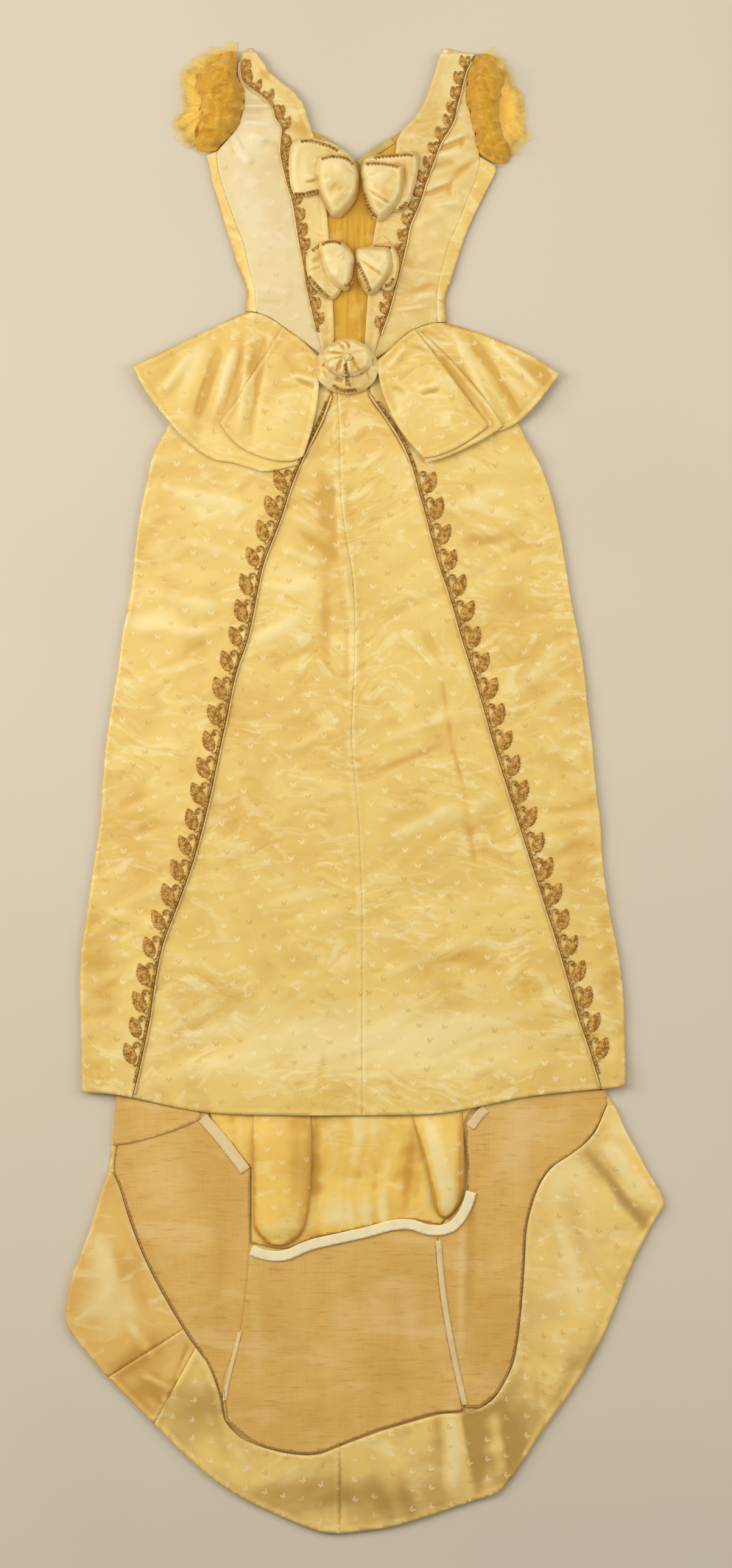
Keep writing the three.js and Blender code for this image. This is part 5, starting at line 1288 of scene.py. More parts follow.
class GownColours(bpy.types.PropertyGroup):
    """Dyes and metals, and the colours of painted shade and painted highlight, as linear colours
    """

    satin: colour_setting("Satin", "Figured satin of skirt and bodice", (0.84, 0.6, 0.175))
    # the deep satin colour serves for its soft colour drift and for painted shade in troughs and
    # crumples
    satin_deep: colour_setting("Satin, deep", "The satin in its folds", (0.62, 0.34, 0.05))
    # the colour of painted highlight and painted sheen on the satin
    satin_light: colour_setting("Satin, light", "The satin where it is palest", (0.93, 0.78, 0.38))
    cream: colour_setting("Cream satin", "Palest satin of the left front", (0.78, 0.64, 0.34))
    bow: colour_setting("Bow satin", "Satin of bows and rosette", (0.80, 0.61, 0.235))
    train: colour_setting("Train facing", "Underside satin of the train", (0.92, 0.64, 0.195))
    plain: colour_setting("Plain satin", "Unfigured piece of the facing", (0.80, 0.50, 0.13))
    canvas: colour_setting("Canvas", "Stiffening linen of the train", (0.76, 0.475, 0.135))
    # the dark of the canvas serves for its slubs, threads and drift and for painted shade in its
    # troughs
    canvas_dark: colour_setting("Canvas, dark", "Its slubs", (0.60, 0.33, 0.07))
    rust: colour_setting("Rust", "Old marks on the canvas", (0.5, 0.17, 0.025))
    tape: colour_setting("Tape", "Cotton tapes", (0.95, 0.83, 0.50))
    vest: colour_setting("Vest", "Worn velvet of the front panel", (0.70, 0.39, 0.04))
    tulle: colour_setting("Tulle", "Net of the sleeves", (0.66, 0.345, 0.024))
    # the deep net colour serves for its thick places and for painted shade in its troughs
    tulle_deep_and_painted_shade: colour_setting("Tulle, deep", "Net where it lies thick", (0.5, 0.215, 0.008))
    gilt: colour_setting("Gilt thread", "Braid and leaves", (0.76, 0.45, 0.11))
    gilt_dark: colour_setting("Tarnish", "Dark of the braid", (0.36, 0.16, 0.022))
    glint: colour_setting("Beads", "Bright beads on the braid", (0.98, 0.86, 0.52))
    floor: colour_setting("Floor", "Table the gown is laid on", (0.68, 0.61, 0.48))


class GownSizes(bpy.types.PropertyGroup):
    """Sizes of cloth and trims, in mm"""

    wide_net: length_setting("Panel net", "Distance between points of a skirt panel", 4.0)
    fine_net: length_setting("Bodice net", "Distance between points of the bodice", 2.3)
    bow_net: length_setting("Bow net", "Distance between points of bows", 1.5)
    hidden_net: length_setting("Hidden net", "Distance between points of hidden backs", 13.0)
    wall: length_setting("Cloth", "Thickness of a laid panel", 1.2)
    cord: length_setting("Piping", "Radius of the piping", 1.35)
    skirt_leaf: length_setting("Skirt leaf", "Length of a leaf on the skirt", 30.0)
    bodice_leaf: length_setting("Bodice leaf", "Length of a leaf on the bodice", 17.0)
    floor: length_setting("Floor", "Width of the floor", 7000.0, 100.0, 20000.0)
    height: length_setting("Camera height", "Camera over the floor", 5000.0, 500.0, 20000.0)
    seen: length_setting("Frame height", "Length of floor in the picture", 2060.8, 500, 9000)


def settings():
    return bpy.context.scene.gown_sizes, bpy.context.scene.gown_colours


def rgb(colour):
    return tuple(float(c) for c in colour)


def finish_once(name, maker, *values):
    """The finish of that name, made the first time it is asked for."""
    return bpy.data.materials.get(name) or maker(name, *values)


def edge_thread():
    return finish_once("edge_thread", cord_finish, (0.50, 0.26, 0.09), (0.33, 0.15, 0.04))


# satin: its colour or the setting that holds it, its deeper colour for drift and painted shade in
# folds, its colour of painted highlight (None: as on the skirt), strength of its sprig and of its
# rumples with their painted streaks
SATINS = {
    "skirt": ("satin", None, None, 1.0, 1.0),
    "cream": ("cream", (0.70, 0.52, 0.25), (0.84, 0.75, 0.52), 0.55, 0.3),
    "bow": ("bow", None, (0.88, 0.73, 0.38), 0.55, 1.0),
    "train": ("train", (0.44, 0.25, 0.05), None, 1.0, 0.3),
    "gold": ((0.94, 0.63, 0.14), (0.60, 0.28, 0.03), None, 0.7, 0.3),
    "faint_gold": ((0.94, 0.63, 0.14), (0.60, 0.28, 0.03), None, 0.7 * 0.35, 0.3),
    "plain": ("plain", (0.55, 0.28, 0.05), None, 0.0, 0.3),
}


def satin(turn, kind="skirt"):
    """A satin whose weave runs at turn degrees."""
    _, colours = settings()
    base, deep, light, figured, rumpled = SATINS[kind]
    base = rgb(getattr(colours, base)) if isinstance(base, str) else base
    deep = deep or rgb(colours.satin_deep)
    light = light or rgb(colours.satin_light)
    name = f"{kind}_satin_{turn}"
    return finish_once(name, satin_finish, base, deep, light, turn, figured, rumpled)


def sewn(piece, name, finishes, tints=None, node=None):
    """An object made of a piece: it rides on the gown and may stand for a node."""
    obj = piece.make(name, finishes, tints)
    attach(obj, "root")
    if node:
        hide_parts(node)
    return obj


# node: slot, cut width and length in m, share of that box that is cloth, how it is held,
# what it lies on
CLOTH = {
    "skirt_back_left": ("satin", 0.361, 1.616, 0.775, "laid", ()),
    "skirt_back_right": ("satin", 0.426, 1.616, 0.73, "laid", ()),
    "train_facing_left_upper": ("plain_satin", 0.155, 0.271, 0.52, "laid", ("skirt_back_left",)),
    "train_facing_left_gusset": ("plain_satin", 0.115, 0.124, 0.47, "laid", ("skirt_back_left",)),
    "train_facing_left": ("satin", 0.243, 0.244, 0.40, "laid", ("skirt_back_left",)),
    "train_facing_right": ("satin", 0.425, 0.562, 0.32, "laid", ("skirt_back_right",)),
    "canvas_left": ("canvas", 0.189, 0.404, 0.64, "laid", ("skirt_back_left",)),
    "canvas_centre": ("canvas", 0.315, 0.302, 0.77, "laid", ("skirt_back_right",)),
    "canvas_right": ("canvas", 0.220, 0.417, 0.49, "laid", ("skirt_back_right",)),
    "canvas_flap": ("canvas", 0.114, 0.068, 0.62, "folded", ("canvas_left",)),
    "back_gathers": ("satin", 0.364, 0.204, 0.74, "gathered", ("skirt_back_right",)),
    "back_pleat_left": ("satin", 0.077, 0.184, 0.99, "folded", ("back_gathers",)),
    "back_pleat_right": ("satin", 0.070, 0.150, 0.79, "folded", ("back_gathers",)),
    "skirt_front_left": ("satin", 0.311, 1.067, 0.535, "laid", ("skirt_back_left",)),
    "skirt_front_right": ("satin", 0.356, 1.067, 0.495, "laid", ("skirt_back_right",)),
    "skirt_side_left": ("satin", 0.333, 1.044, 0.427, "laid", ("skirt_back_left",)),
    "skirt_side_right": ("satin", 0.341, 1.033, 0.355, "laid", ("skirt_back_right",)),
    "peplum_back": ("satin", 0.552, 0.192, 0.75, "laid", ("skirt_back_left",)),
    "peplum_left_flare": ("satin", 0.240, 0.210, 0.68, "laid", ("skirt_side_left",)),
    "peplum_left_front": ("satin", 0.130, 0.176, 0.65, "laid", ("skirt_front_left",)),
    "peplum_right_flare": ("satin", 0.220, 0.166, 0.63, "laid", ("skirt_side_right",)),
    "peplum_right_middle": ("satin", 0.161, 0.176, 0.56, "laid", ("skirt_side_right",)),
    "peplum_right_front": ("satin", 0.146, 0.169, 0.57, "laid", ("skirt_front_right",)),
    "bodice_back": ("satin", 0.373, 0.358, 0.65, "laid", ()),
    "bodice_side_left": ("satin", 0.020, 0.215, 0.75, "laid", ("bodice_back",)),
    "bodice_side_right": ("satin", 0.024, 0.222, 0.76, "laid", ("bodice_back",)),
    "bodice_front_left": ("pale_satin", 0.143, 0.389, 0.50, "laid", ("bodice_back",)),
    "bodice_front_right": ("satin", 0.144, 0.394, 0.40, "laid", ("bodice_back",)),
    "revers_left": ("pale_satin", 0.120, 0.402, 0.33, "laid", ("bodice_front_left",)),
    "revers_right": ("pale_satin", 0.147, 0.405, 0.31, "laid", ("bodice_front_right",)),
    "vest": ("vest", 0.136, 0.309, 0.58, "laid", ("bodice_back",)),
    "neck_band_left": ("neck_band", 0.010, 0.060, 0.70, "laid", ("revers_left",)),
    "neck_band_right": ("neck_band", 0.010, 0.062, 0.95, "laid", ("revers_right",)),
    "canvas_tape_centre": ("tape", 0.015, 0.310, 1.0, "laid", ("canvas_centre",)),
    "canvas_tape_left": ("tape", 0.014, 0.103, 1.0, "laid", ("canvas_left",)),
    "canvas_tape_right": ("tape", 0.010, 0.043, 0.95, "laid", ("canvas_right",)),
    "canvas_seam_tape_right": ("tape", 0.010, 0.221, 0.82, "laid", ("canvas_centre",)),
    "sleeve_puff_left": ("tulle", 0.075, 0.135, 0.85, "gathered", ("bodice_front_left",)),
    "sleeve_puff_right": ("tulle", 0.070, 0.140, 0.78, "gathered", ("bodice_front_right",)),
    "bow_upper_left_back": ("pale_satin", 0.086, 0.076, 0.94, "folded", ("revers_left",)),
    "bow_upper_right_back": ("pale_satin", 0.080, 0.076, 0.85, "folded", ("revers_right",)),
    "bow_upper_left_front": ("pale_satin", 0.072, 0.084, 0.98, "folded", ("vest",)),
    "bow_upper_right_front": ("pale_satin", 0.072, 0.084, 0.94, "folded", ("vest",)),
    "bow_lower_left_back": ("pale_satin", 0.059, 0.076, 0.90, "folded", ("revers_left",)),
    "bow_lower_right_back": ("pale_satin", 0.052, 0.064, 0.85, "folded", ("revers_right",)),
    "bow_lower_left_front": ("pale_satin", 0.056, 0.070, 0.95, "folded", ("vest",)),
    "bow_lower_right_front": ("pale_satin", 0.056, 0.070, 0.95, "folded", ("vest",)),
    "rosette_ring": ("pale_satin", 0.084, 0.069, 0.95, "gathered", ("skirt_front_left",)),
    "rosette_cap": ("pale_satin", 0.066, 0.052, 0.92, "gathered", ("rosette_ring",)),
}


# mm between points of the nets that the settings leave alone
BACK_NET, FACING_NET, GUSSET_NET, LINING_NET = 7, 4.4, 3.2, 4.6
GATHER_NET, NARROW_NET, BAND_NET, KNOT_NET = 3.6, 2.6, 2.2, 0.9
BACK_WALL, TAPE_WALL = 1.4, 0.9  # mm


def flat_lift(height):
    """A relief that is the same everywhere."""
    return lambda x, y: height + 0 * x


def cloth(node, finish, pitch, **form):
    """One panel: fine cloth on its node's form."""
    piece, hollow = shell(node, pitch, **form)
    obj = sewn(piece, f"cloth_{node}", [finish], hollow, node)


# ---------------------------------------------------------------- operators


class GOWN_OT_skirt_back(bpy.types.Operator):
    """Back of the skirt with its train, and the hidden backs of bodice and peplum"""

    bl_idname = "gown.skirt_back"
    bl_label = "Skirt back and train"

    def execute(self, context):
        sizes, _ = settings()
        for node in ("skirt_back_left", "skirt_back_right", "peplum_back", "bodice_back"):
            pitch = sizes.hidden_net if node.startswith("skirt") else BACK_NET
            cloth(node, satin(0), pitch, wall=BACK_WALL, even=3, relief=flat_lift(0))
        return {"FINISHED"}


class GOWN_OT_train(bpy.types.Operator):
    """Facing of the turned train: figured satin, with a plain piece let in on the left"""

    bl_idname = "gown.train"
    bl_label = "Train facing"

    def execute(self, context):
        sizes, _ = settings()
        form = {"relief": train_relief, "wall": sizes.wall, "roll": 0.7, "tones": TRAIN_PAINTED_SHADING}
        cloth("train_facing_left_upper", satin(-30, "plain"), FACING_NET, **form)
        cloth("train_facing_left_gusset", satin(20, "plain"), GUSSET_NET, **form)
        cloth("train_facing_left", satin(38, "train"), FACING_NET, **form)
        cloth("train_facing_right", satin(-40, "train"), LINING_NET, **form)
        form = {"relief": gathered_relief, "wall": sizes.wall, "tones": GATHER_PAINTED_SHADING}
        cloth("back_gathers", satin(0, "faint_gold"), GATHER_NET, **form)
        form = {"wall": sizes.wall, "even": 10, "roll": 0.4, "tones": PLEAT_PAINTED_SHADING, "soften": 10}
        for node in ("back_pleat_left", "back_pleat_right"):
            cloth(node, satin(6, "gold"), NARROW_NET, **form)
        return {"FINISHED"}


CANVASES = ("canvas_left", "canvas_centre", "canvas_right")
# middle of the left seam tape
SEAM_TAPE = ((-164, -712), (-172, -745), (-180, -778), (-184, -802))


class GOWN_OT_canvas(bpy.types.Operator):
    """Linen stiffening of the train, its tapes and the thread along its edge"""

    bl_idname = "gown.canvas"
    bl_label = "Canvas and tapes"

    def execute(self, context):
        sizes, colours = settings()
        linen = finish_once(
            "linen_canvas",
            canvas_finish,
            rgb(colours.canvas),
            rgb(colours.canvas_dark),
            # pale: the canvas's lighter haze and its painted highlight on ridges
            (0.84, 0.60, 0.25),
            rgb(colours.rust),
        )
        tape = finish_once("cotton_tape", tape_finish, rgb(colours.tape), (0.82, 0.68, 0.42))
        worn = finish_once("worn_tape", tape_finish, (0.82, 0.63, 0.32), (0.72, 0.50, 0.21))
        form = {"relief": train_relief, "wall": sizes.wall, "roll": 0.3, "tones": CANVAS_PAINTED_SHADING}
        for node in (*CANVASES, "canvas_flap"):
            cloth(node, linen, LINING_NET, **form)
        for node in CLOTH:
            if "tape" in node:
                kind = tape if node == "canvas_tape_centre" else worn
                cloth(node, kind, NARROW_NET, relief=train_relief, wall=TAPE_WALL, even=3)
        rim_thread(edge_thread())
        side = flowing(SEAM_TAPE)
        outline = [(x - 2.7, y - 0.6) for x, y in side]
        outline += [(x + 2.7, y + 0.6) for x, y in side[::-1]]
        strip = laid_patch(outline, 0.7, ["canvas_left", "canvas_centre"], 6.0, 1.8)
        obj = sewn(strip, "canvas_seam_tape_left", [worn])
        return {"FINISHED"}


def rim_thread(finish):
    """Herringbone thread that catches the canvas down, a few mm inside its edge."""
    inset, hem = 0.012, -440  # share of the way to the middle, level under the front hem
    tapes = [name for name in SURFACES if "tape" in name]
    piece = Piece()
    for node in CANVASES:
        others = [n for n in (*CANVASES, "canvas_flap", "back_gathers") if n != node]
        rim = rim_of(*solid_of(node), 3.0)[:, :2]
        middle = rim.mean(0)
        for first, last in zip(rim[:-2:2], rim[2::2]):
            x, y = first + (middle - first) * inset
            bx, by = last + (middle - last) * inset
            out = (x, y) - (middle - first) / np.linalg.norm(middle - first) * 9
            spare = height_at(x, y, CANVASES)
            if min(y, by) > hem or spare is None:
                continue
            if height_at(*out, others) is not None or height_at(x, y, tapes) is not None:
                continue
            path = [(x, y, 0.25), ((x + bx) / 2, (y + by) / 2, 0.6), (bx, by, 0.25)]
            piece.add(*tube(settled(path, CANVASES, spare), 0.55))
    sewn(piece, "canvas_edge_thread", [finish])


class GOWN_OT_skirt_front(bpy.types.Operator):
    """Front and side panels of the skirt"""

    bl_idname = "gown.skirt_front"
    bl_label = "Skirt front"

    def execute(self, context):
        sizes, _ = settings()
        form = {"relief": skirt_relief, "wall": sizes.wall, "even": 14, "roll": 0.5}
        form["tones"] = SKIRT_PAINTED_SHADING
        cloth("skirt_front_left", satin(8), sizes.wide_net, **form)
        cloth("skirt_front_right", satin(-4), sizes.wide_net, **form)
        cloth("skirt_side_left", satin(-6), sizes.wide_net, **form)
        cloth("skirt_side_right", satin(12), sizes.wide_net, **form)
        return {"FINISHED"}


class GOWN_OT_peplum(bpy.types.Operator):
    """Flared basque below the waist"""

    bl_idname = "gown.peplum"
    bl_label = "Peplum"

    def execute(self, context):
        sizes, _ = settings()
        turns = {
            "peplum_left_flare": -52,
            "peplum_left_front": -24,
            "peplum_right_flare": 54,
            "peplum_right_middle": 42,
            "peplum_right_front": 28,
        }
        form = {"relief": peplum_relief, "wall": sizes.wall, "roll": 0.6}
        for node, turn in turns.items():
            cloth(node, satin(turn), sizes.fine_net, tones=PEPLUM_PAINTED_SHADING, **form)
        return {"FINISHED"}


class GOWN_OT_bodice(bpy.types.Operator):
    """Bodice fronts, sides, revers, vest and neck bands"""

    bl_idname = "gown.bodice"
    bl_label = "Bodice"

    def execute(self, context):
        sizes, colours = settings()
        form = {"relief": bodice_relief, "wall": sizes.wall, "tones": BUST_PAINTED_SHADING}
        net = sizes.fine_net
        cloth("bodice_side_left", satin(-12), net, **form)
        cloth("bodice_side_right", satin(16), net, **form)
        cloth("bodice_front_left", satin(12, "cream"), net, **form)
        cloth("bodice_front_right", satin(-18, "bow"), net, **form)
        velvet = finish_once(
            "vest_velvet", vest_finish, rgb(colours.vest), (0.55, 0.29, 0.03), (0.78, 0.52, 0.12)
        )
        cloth("vest", velvet, net, relief=flat_lift(0.3), wall=sizes.wall, even=5)
        form["roll"] = 0.5
        cloth("revers_left", satin(14, "bow"), net, **form)
        cloth("revers_right", satin(-16, "bow"), net, **form)
        band = finish_once("neck_ribbon", tape_finish, (0.62, 0.46, 0.15), (0.46, 0.32, 0.08))
        for node in ("neck_band_left", "neck_band_right"):
            cloth(node, band, BAND_NET, relief=flat_lift(0.2), wall=TAPE_WALL, even=2)
        return {"FINISHED"}


def piping_line(node):
    """The middle of a piping node, from its top down, as x, y and z in mm."""
    points, _ = solid_of(node)
    order = points[np.argsort(-points[:, 1])]
    breaks = np.nonzero(order[:-1, 1] - order[1:, 1] > RING_GAP)[0] + 1
    return np.array([ring.mean(0) for ring in np.split(order, breaks)])


def braid_finishes():
    _, colours = settings()
    thread = finish_once(
        "gilt_thread", metal_finish, rgb(colours.gilt), rgb(colours.gilt_dark), 0.2, 0.42
    )
    beads = finish_once(
        "gilt_beads", metal_finish, rgb(colours.glint), (0.70, 0.46, 0.15), 0.35, 0.22
    )
    return [thread, beads]


def piping(node, line, radius, finish, names):
    """Satin piping as one smooth round cord."""
    fine = np.array([(x, y, 0.0) for x, y, _ in spaced(line, 4.0)])
    path = np.column_stack([fine[:, :2], np.full(len(fine), radius)])
    laid = np.array(settled(path, names, line[0][2] - radius))
    laid[:, 2] = softened(laid[:, 2], 6)
    piece = Piece()
    piece.add(*tube(laid, radius, sides=10))
    sewn(piece, f"cord_{node}", [finish], node=node)


# side that the leaves point to (-X or +X), the strands' top, the leaves' top, the bottom,
# and what the braid lies on
BRAIDS = {
    "skirt_left": (-1, 508, 409, -386, ("skirt_side_left", "skirt_front_left")),
    "skirt_right": (1, 508, 410, -376, ("skirt_side_right", "skirt_front_right")),
    "bodice_left": (1, 958, 958, 592, ("revers_left", "bodice_front_left")),
    "bodice_right": (-1, 962, 962, 592, ("revers_right", "bodice_front_right")),
}
SKIRT_LEAVES, BODICE_LEAVES = 35.3, 20.0  # mm from leaf to leaf


def leaf_braid(where, finishes, long, pitch):
    """A gilt edging: two twisted strands, beads between, leaves and scrolls beside."""
    part, word = where.split("_")
    node = f"{part}_leaf_braid_{word}"
    side, high, top, bottom, names = BRAIDS[where]
    line = flowing(piping_line(f"{part}_piping_{word}"))
    big = part == "skirt"
    line = line[(line[:, 1] < high) & (line[:, 1] > bottom)]
    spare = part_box(node)[0].z / MM + 2
    piece = Piece()

    def offset(x, y, a, out, down=0.0):
        """A point out from the piping and down along it, seen in plan."""
        nx, ny = -math.sin(a), math.cos(a)
        if nx * side < 0:
            nx, ny = -nx, -ny
        return x + nx * out + math.cos(a) * down, y + ny * out + math.sin(a) * down

    def laid(path, radius, beats=0.0):
        piece.add(*tube(settled(path, names, spare), radius, 5, beats))

    def beaded(x, y, lift, radius, finish=1):
        under = height_at(x, y, names) or spare
        piece.add(*bead(x, y, under + lift, radius), finish)

    strands = ((3.0, 0.95, 2.2), (5.0, 0.75, 2.6)) if big else ((2.6, 0.75, 2.6), (4.1, 0.6, 3.0))
    for out, radius, beats in strands:
        path = [(*offset(x, y, a, out), radius) for x, y, a in spaced(line, 1.6)]
        laid(path, radius, beats=beats)
    for i, (x, y, a) in enumerate(spaced(line, 4.6 if big else 3.8, 1.0)):
        place = offset(x, y, a, strands[0][0] + (1.1 if i % 2 else 1.6))
        beaded(*place, 1.9, 0.8 if big else 0.65)
    wide = long * 0.56
    form, faces = leaf_form(long, wide, 1.9 if big else 1.3)
    for i, (x, y, a) in enumerate(spaced(line[line[:, 1] < top], pitch, 0.3 * pitch)):
        sway = 1 + 0.05 * math.sin(i * 1.7)
        lean = math.radians(side * (-22 if big else -14) + 5 * math.sin(i * 2.3))
        lx, ly = offset(x, y, a, long * 0.59)
        leaf = turned(form, lean, lx, ly, sway)
        piece.add(settled(leaf, names, spare), faces)
        for bx, by in LEAF_BEADS:
            px, py, _ = turned([(bx * wide, by * long, 0)], lean, lx, ly, sway)[0]
            size = (0.75 if big else 0.5) * (1 + 0.25 * math.sin(i * 3.1 + bx * 40))
            beaded(px, py, 2.3 if big else 1.6, size)
        foot = turned([(0, -long * 0.42, 0.9)], lean, lx, ly, sway)[0]
        stalk = [foot, (*offset(x, y, a, long * 0.32, long * 0.46), 0.9)]
        stalk.append((*offset(x, y, a, strands[1][0], long * 0.36), 0.9))
        laid(stalk, 0.8 if big else 0.55)
        beaded(*offset(x, y, a, long * 0.3, long * 0.47), 1.8, 1.2 if big else 0.8)
        curl = flowing([offset(x, y, a, o * long, -u * long) for o, u in SCROLL], long * 0.06)
        laid([(px, py, 1.0) for px, py in curl], 1.15 if big else 0.7)
        beaded(*curl[-1], 1.4, 1.6 if big else 1.0, 0)
    sewn(piece, f"trim_{node}", finishes, node=node)


class GOWN_OT_piping(bpy.types.Operator):
    """Satin piping down the skirt fronts and the bodice"""

    bl_idname = "gown.piping"
    bl_label = "Piping"

    def execute(self, context):
        sizes, _ = settings()
        finish = finish_once("piping_satin", cord_finish, (0.80, 0.58, 0.22), (0.55, 0.29, 0.06))
        for node in (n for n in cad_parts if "piping" in n):
            part, _, word = node.split("_")
            beside = f"skirt_side_{word}" if part == "skirt" else f"revers_{word}"
            names = [f"{part}_front_{word}", beside]
            piping(node, piping_line(node), sizes.cord, finish, names)
        return {"FINISHED"}


class GOWN_OT_braid(bpy.types.Operator):
    """Gilt leaf braid beside the piping"""

    bl_idname = "gown.braid"
    bl_label = "Leaf braid"

    def execute(self, context):
        sizes, _ = settings()
        finishes = braid_finishes()
        leaves = {
            "skirt": (sizes.skirt_leaf, SKIRT_LEAVES),
            "bodice": (sizes.bodice_leaf, BODICE_LEAVES),
        }
        for where in BRAIDS:
            leaf_braid(where, finishes, *leaves[where.split("_")[0]])
        return {"FINISHED"}


# loop: where its gathers come from, how many, and their depth in mm
BOW_GATHERS = {
    "upper_left_back": (-6, 802, 3, 0.6),
    "upper_right_back": (-8, 800, 3, 0.6),
    "upper_left_front": (-8, 803, 3, 1.3),
    "upper_right_front": (-5, 800, 4, 1.5),
    "lower_left_back": (-14, 700, 3, 0.5),
    "lower_right_back": (-12, 700, 3, 0.5),
    "lower_left_front": (-14, 704, 3, 1.1),
    "lower_right_front": (-12, 701, 4, 1.3),
}
BOW_TAB = ((10, 714), (23, 727), (33, 719), (30, 714), (20, 713.5))
# bow edging: the loop it is sewn to, and the line it follows
BOW_EDGES = (
    ("upper_left_back", ((-84, 850), (-72, 851), (-58, 848), (-44, 843), (-34, 838))),
    ("upper_left_back", ((-92, 781), (-80, 781), (-68, 784), (-60, 786))),
    ("upper_left_front", ((-57, 826), (-46, 829), (-34, 829), (-22, 826), (-15, 820))),
    ("upper_right_front", ((2, 820), (14, 820), (28, 819), (46, 815))),
    ("upper_right_back", ((12, 829), (24, 831), (40, 832), (54, 833), (64, 831))),
    ("upper_right_back", ((56, 768), (51, 762), (44, 759))),
    ("upper_right_front", ((-1, 782), (4, 769), (10, 757), (17, 750))),
    ("lower_left_back", ((-70, 706), (-60, 713), (-50, 714))),
    ("lower_left_back", ((-72, 672), (-62, 660), (-52, 650), (-45, 645))),
    ("lower_left_front", ((-57, 714), (-48, 718), (-38, 718), (-30, 716))),
    ("lower_right_front", ((-8, 690), (-2, 676), (4, 662), (8, 652))),
    ("lower_right_back", ((12, 713), (22, 712), (34, 711))),
    ("lower_left_front", ((-14, 668), (-18, 660), (-25, 657))),
    ("lower_right_back", ((39, 668), (34, 659), (26, 657))),
)


def gathers(x, y, from_x, from_y, count, depth):
    """Sharp pleats that fan out from a knot and die away."""
    angle = np.arctan2(y - from_y, x - from_x)
    far = np.hypot(x - from_x, y - from_y)
    wander = lattice(x / 22, y / 22, 12)
    groove = np.abs(np.sin(angle * count + wander * 3)) ** 0.7
    fade = ease(far, 2, 8) * (1 - ease(far, 12, 30))
    soft = 1.2 * (lattice(x / 17, y / 17, 14) - 0.5)
    return depth * (groove - 0.8) * fade + soft


def pulled_relief(knot, strength, creases):
    """Gathers from a knot, with listed creases over them."""
    return lambda x, y: gathers(x, y, *knot) + strength * creased(x, y, creases)


def edging(line, names, spare):
    """Narrow gilt edging: a strand with small open curls and beads."""
    piece = Piece()
    path = [(x, y, 0.6) for x, y, _ in spaced(line, 1.4)]
    piece.add(*tube(settled(path, names, spare), 0.65, sides=5, beats=2.6))
    for i, (x, y, a) in enumerate(spaced(line, 4.8, 1.5)):
        px, py = x + math.sin(a) * 2.2, y - math.cos(a) * 2.2
        arc = []
        for t in np.linspace(-0.5, 1.2, 9):
            r = 1.7 * (1 - 0.25 * t)
            turn = t * math.pi + a
            arc.append((px + r * math.cos(turn), py + r * math.sin(turn), 0.5))
        piece.add(*tube(settled(arc, names, spare), 0.55, sides=4))
        under = height_at(px, py, names)
        if under is not None:
            piece.add(*bead(px, py, under + 0.7, 0.85))
        if i % 3 == 1:
            piece.add(*bead(x, y, (height_at(x, y, names) or spare) + 1.3, 0.75), 1)
    return piece


def laid_patch(outline, thick, names, spare, pitch=1.5):
    """A small flat piece of cloth on what lies below it."""
    rim = smooth_loop(np.array([(x, y, 0.0) for x, y in outline]), pitch)
    spots, _, faces, _, _, _ = netted(rim, rows_inside(rim, pitch))
    top = settled([(p.x, p.y, thick) for p in spots], names, spare)
    return doubled(top, [(x, y, z - thick) for x, y, z in top], wound_up(faces, spots))


class GOWN_OT_bows(bpy.types.Operator):
    """Two satin bows of four loops each, edged with narrow gilt braid"""

    bl_idname = "gown.bows"
    bl_label = "Bows"

    def execute(self, context):
        sizes, _ = settings()
        finishes = braid_finishes()
        form = {"even": 5, "grow": 0.6, "soften": 5, "tones": BOW_PAINTED_SHADING}
        for word, knot in BOW_GATHERS.items():
            finish = satin(24 if "left" in word else -28, "bow")
            form["heap"] = 9 if word.endswith("front") else 5
            form["relief"] = pulled_relief(knot, 1.25, BOW_CREASES)
            cloth(f"bow_{word}", finish, sizes.bow_net, **form)
        tab = laid_patch(BOW_TAB, 1.2, ["revers_right", "vest"], 12.0)
        obj = sewn(tab, "bow_lower_tab", [satin(-28, "bow")])
        for i, (word, line) in enumerate(BOW_EDGES):
            _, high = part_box(f"bow_{word}")
            piece = edging(line, [f"bow_{word}"], high.z / MM * 0.8)
            sewn(piece, f"bow_edging_{i}", finishes)
        return {"FINISHED"}


# rosette: where its gathers come from, how many, and their depth in mm
RING_GATHERS = (-23, 557, 4, 0.8)
CAP_GATHERS = (-23, 565, 4, 1.0)
ROSETTE_EDGES = (
    ((-41, 531), (-34, 526), (-24, 524), (-12, 525)),
    ((-24, 556), (-22, 546), (-20, 536), (-19, 527)),
)


def knot_relief(x, y):
    return 1.1 * np.sin(x * 1.1 - y * 0.4) - 1.2


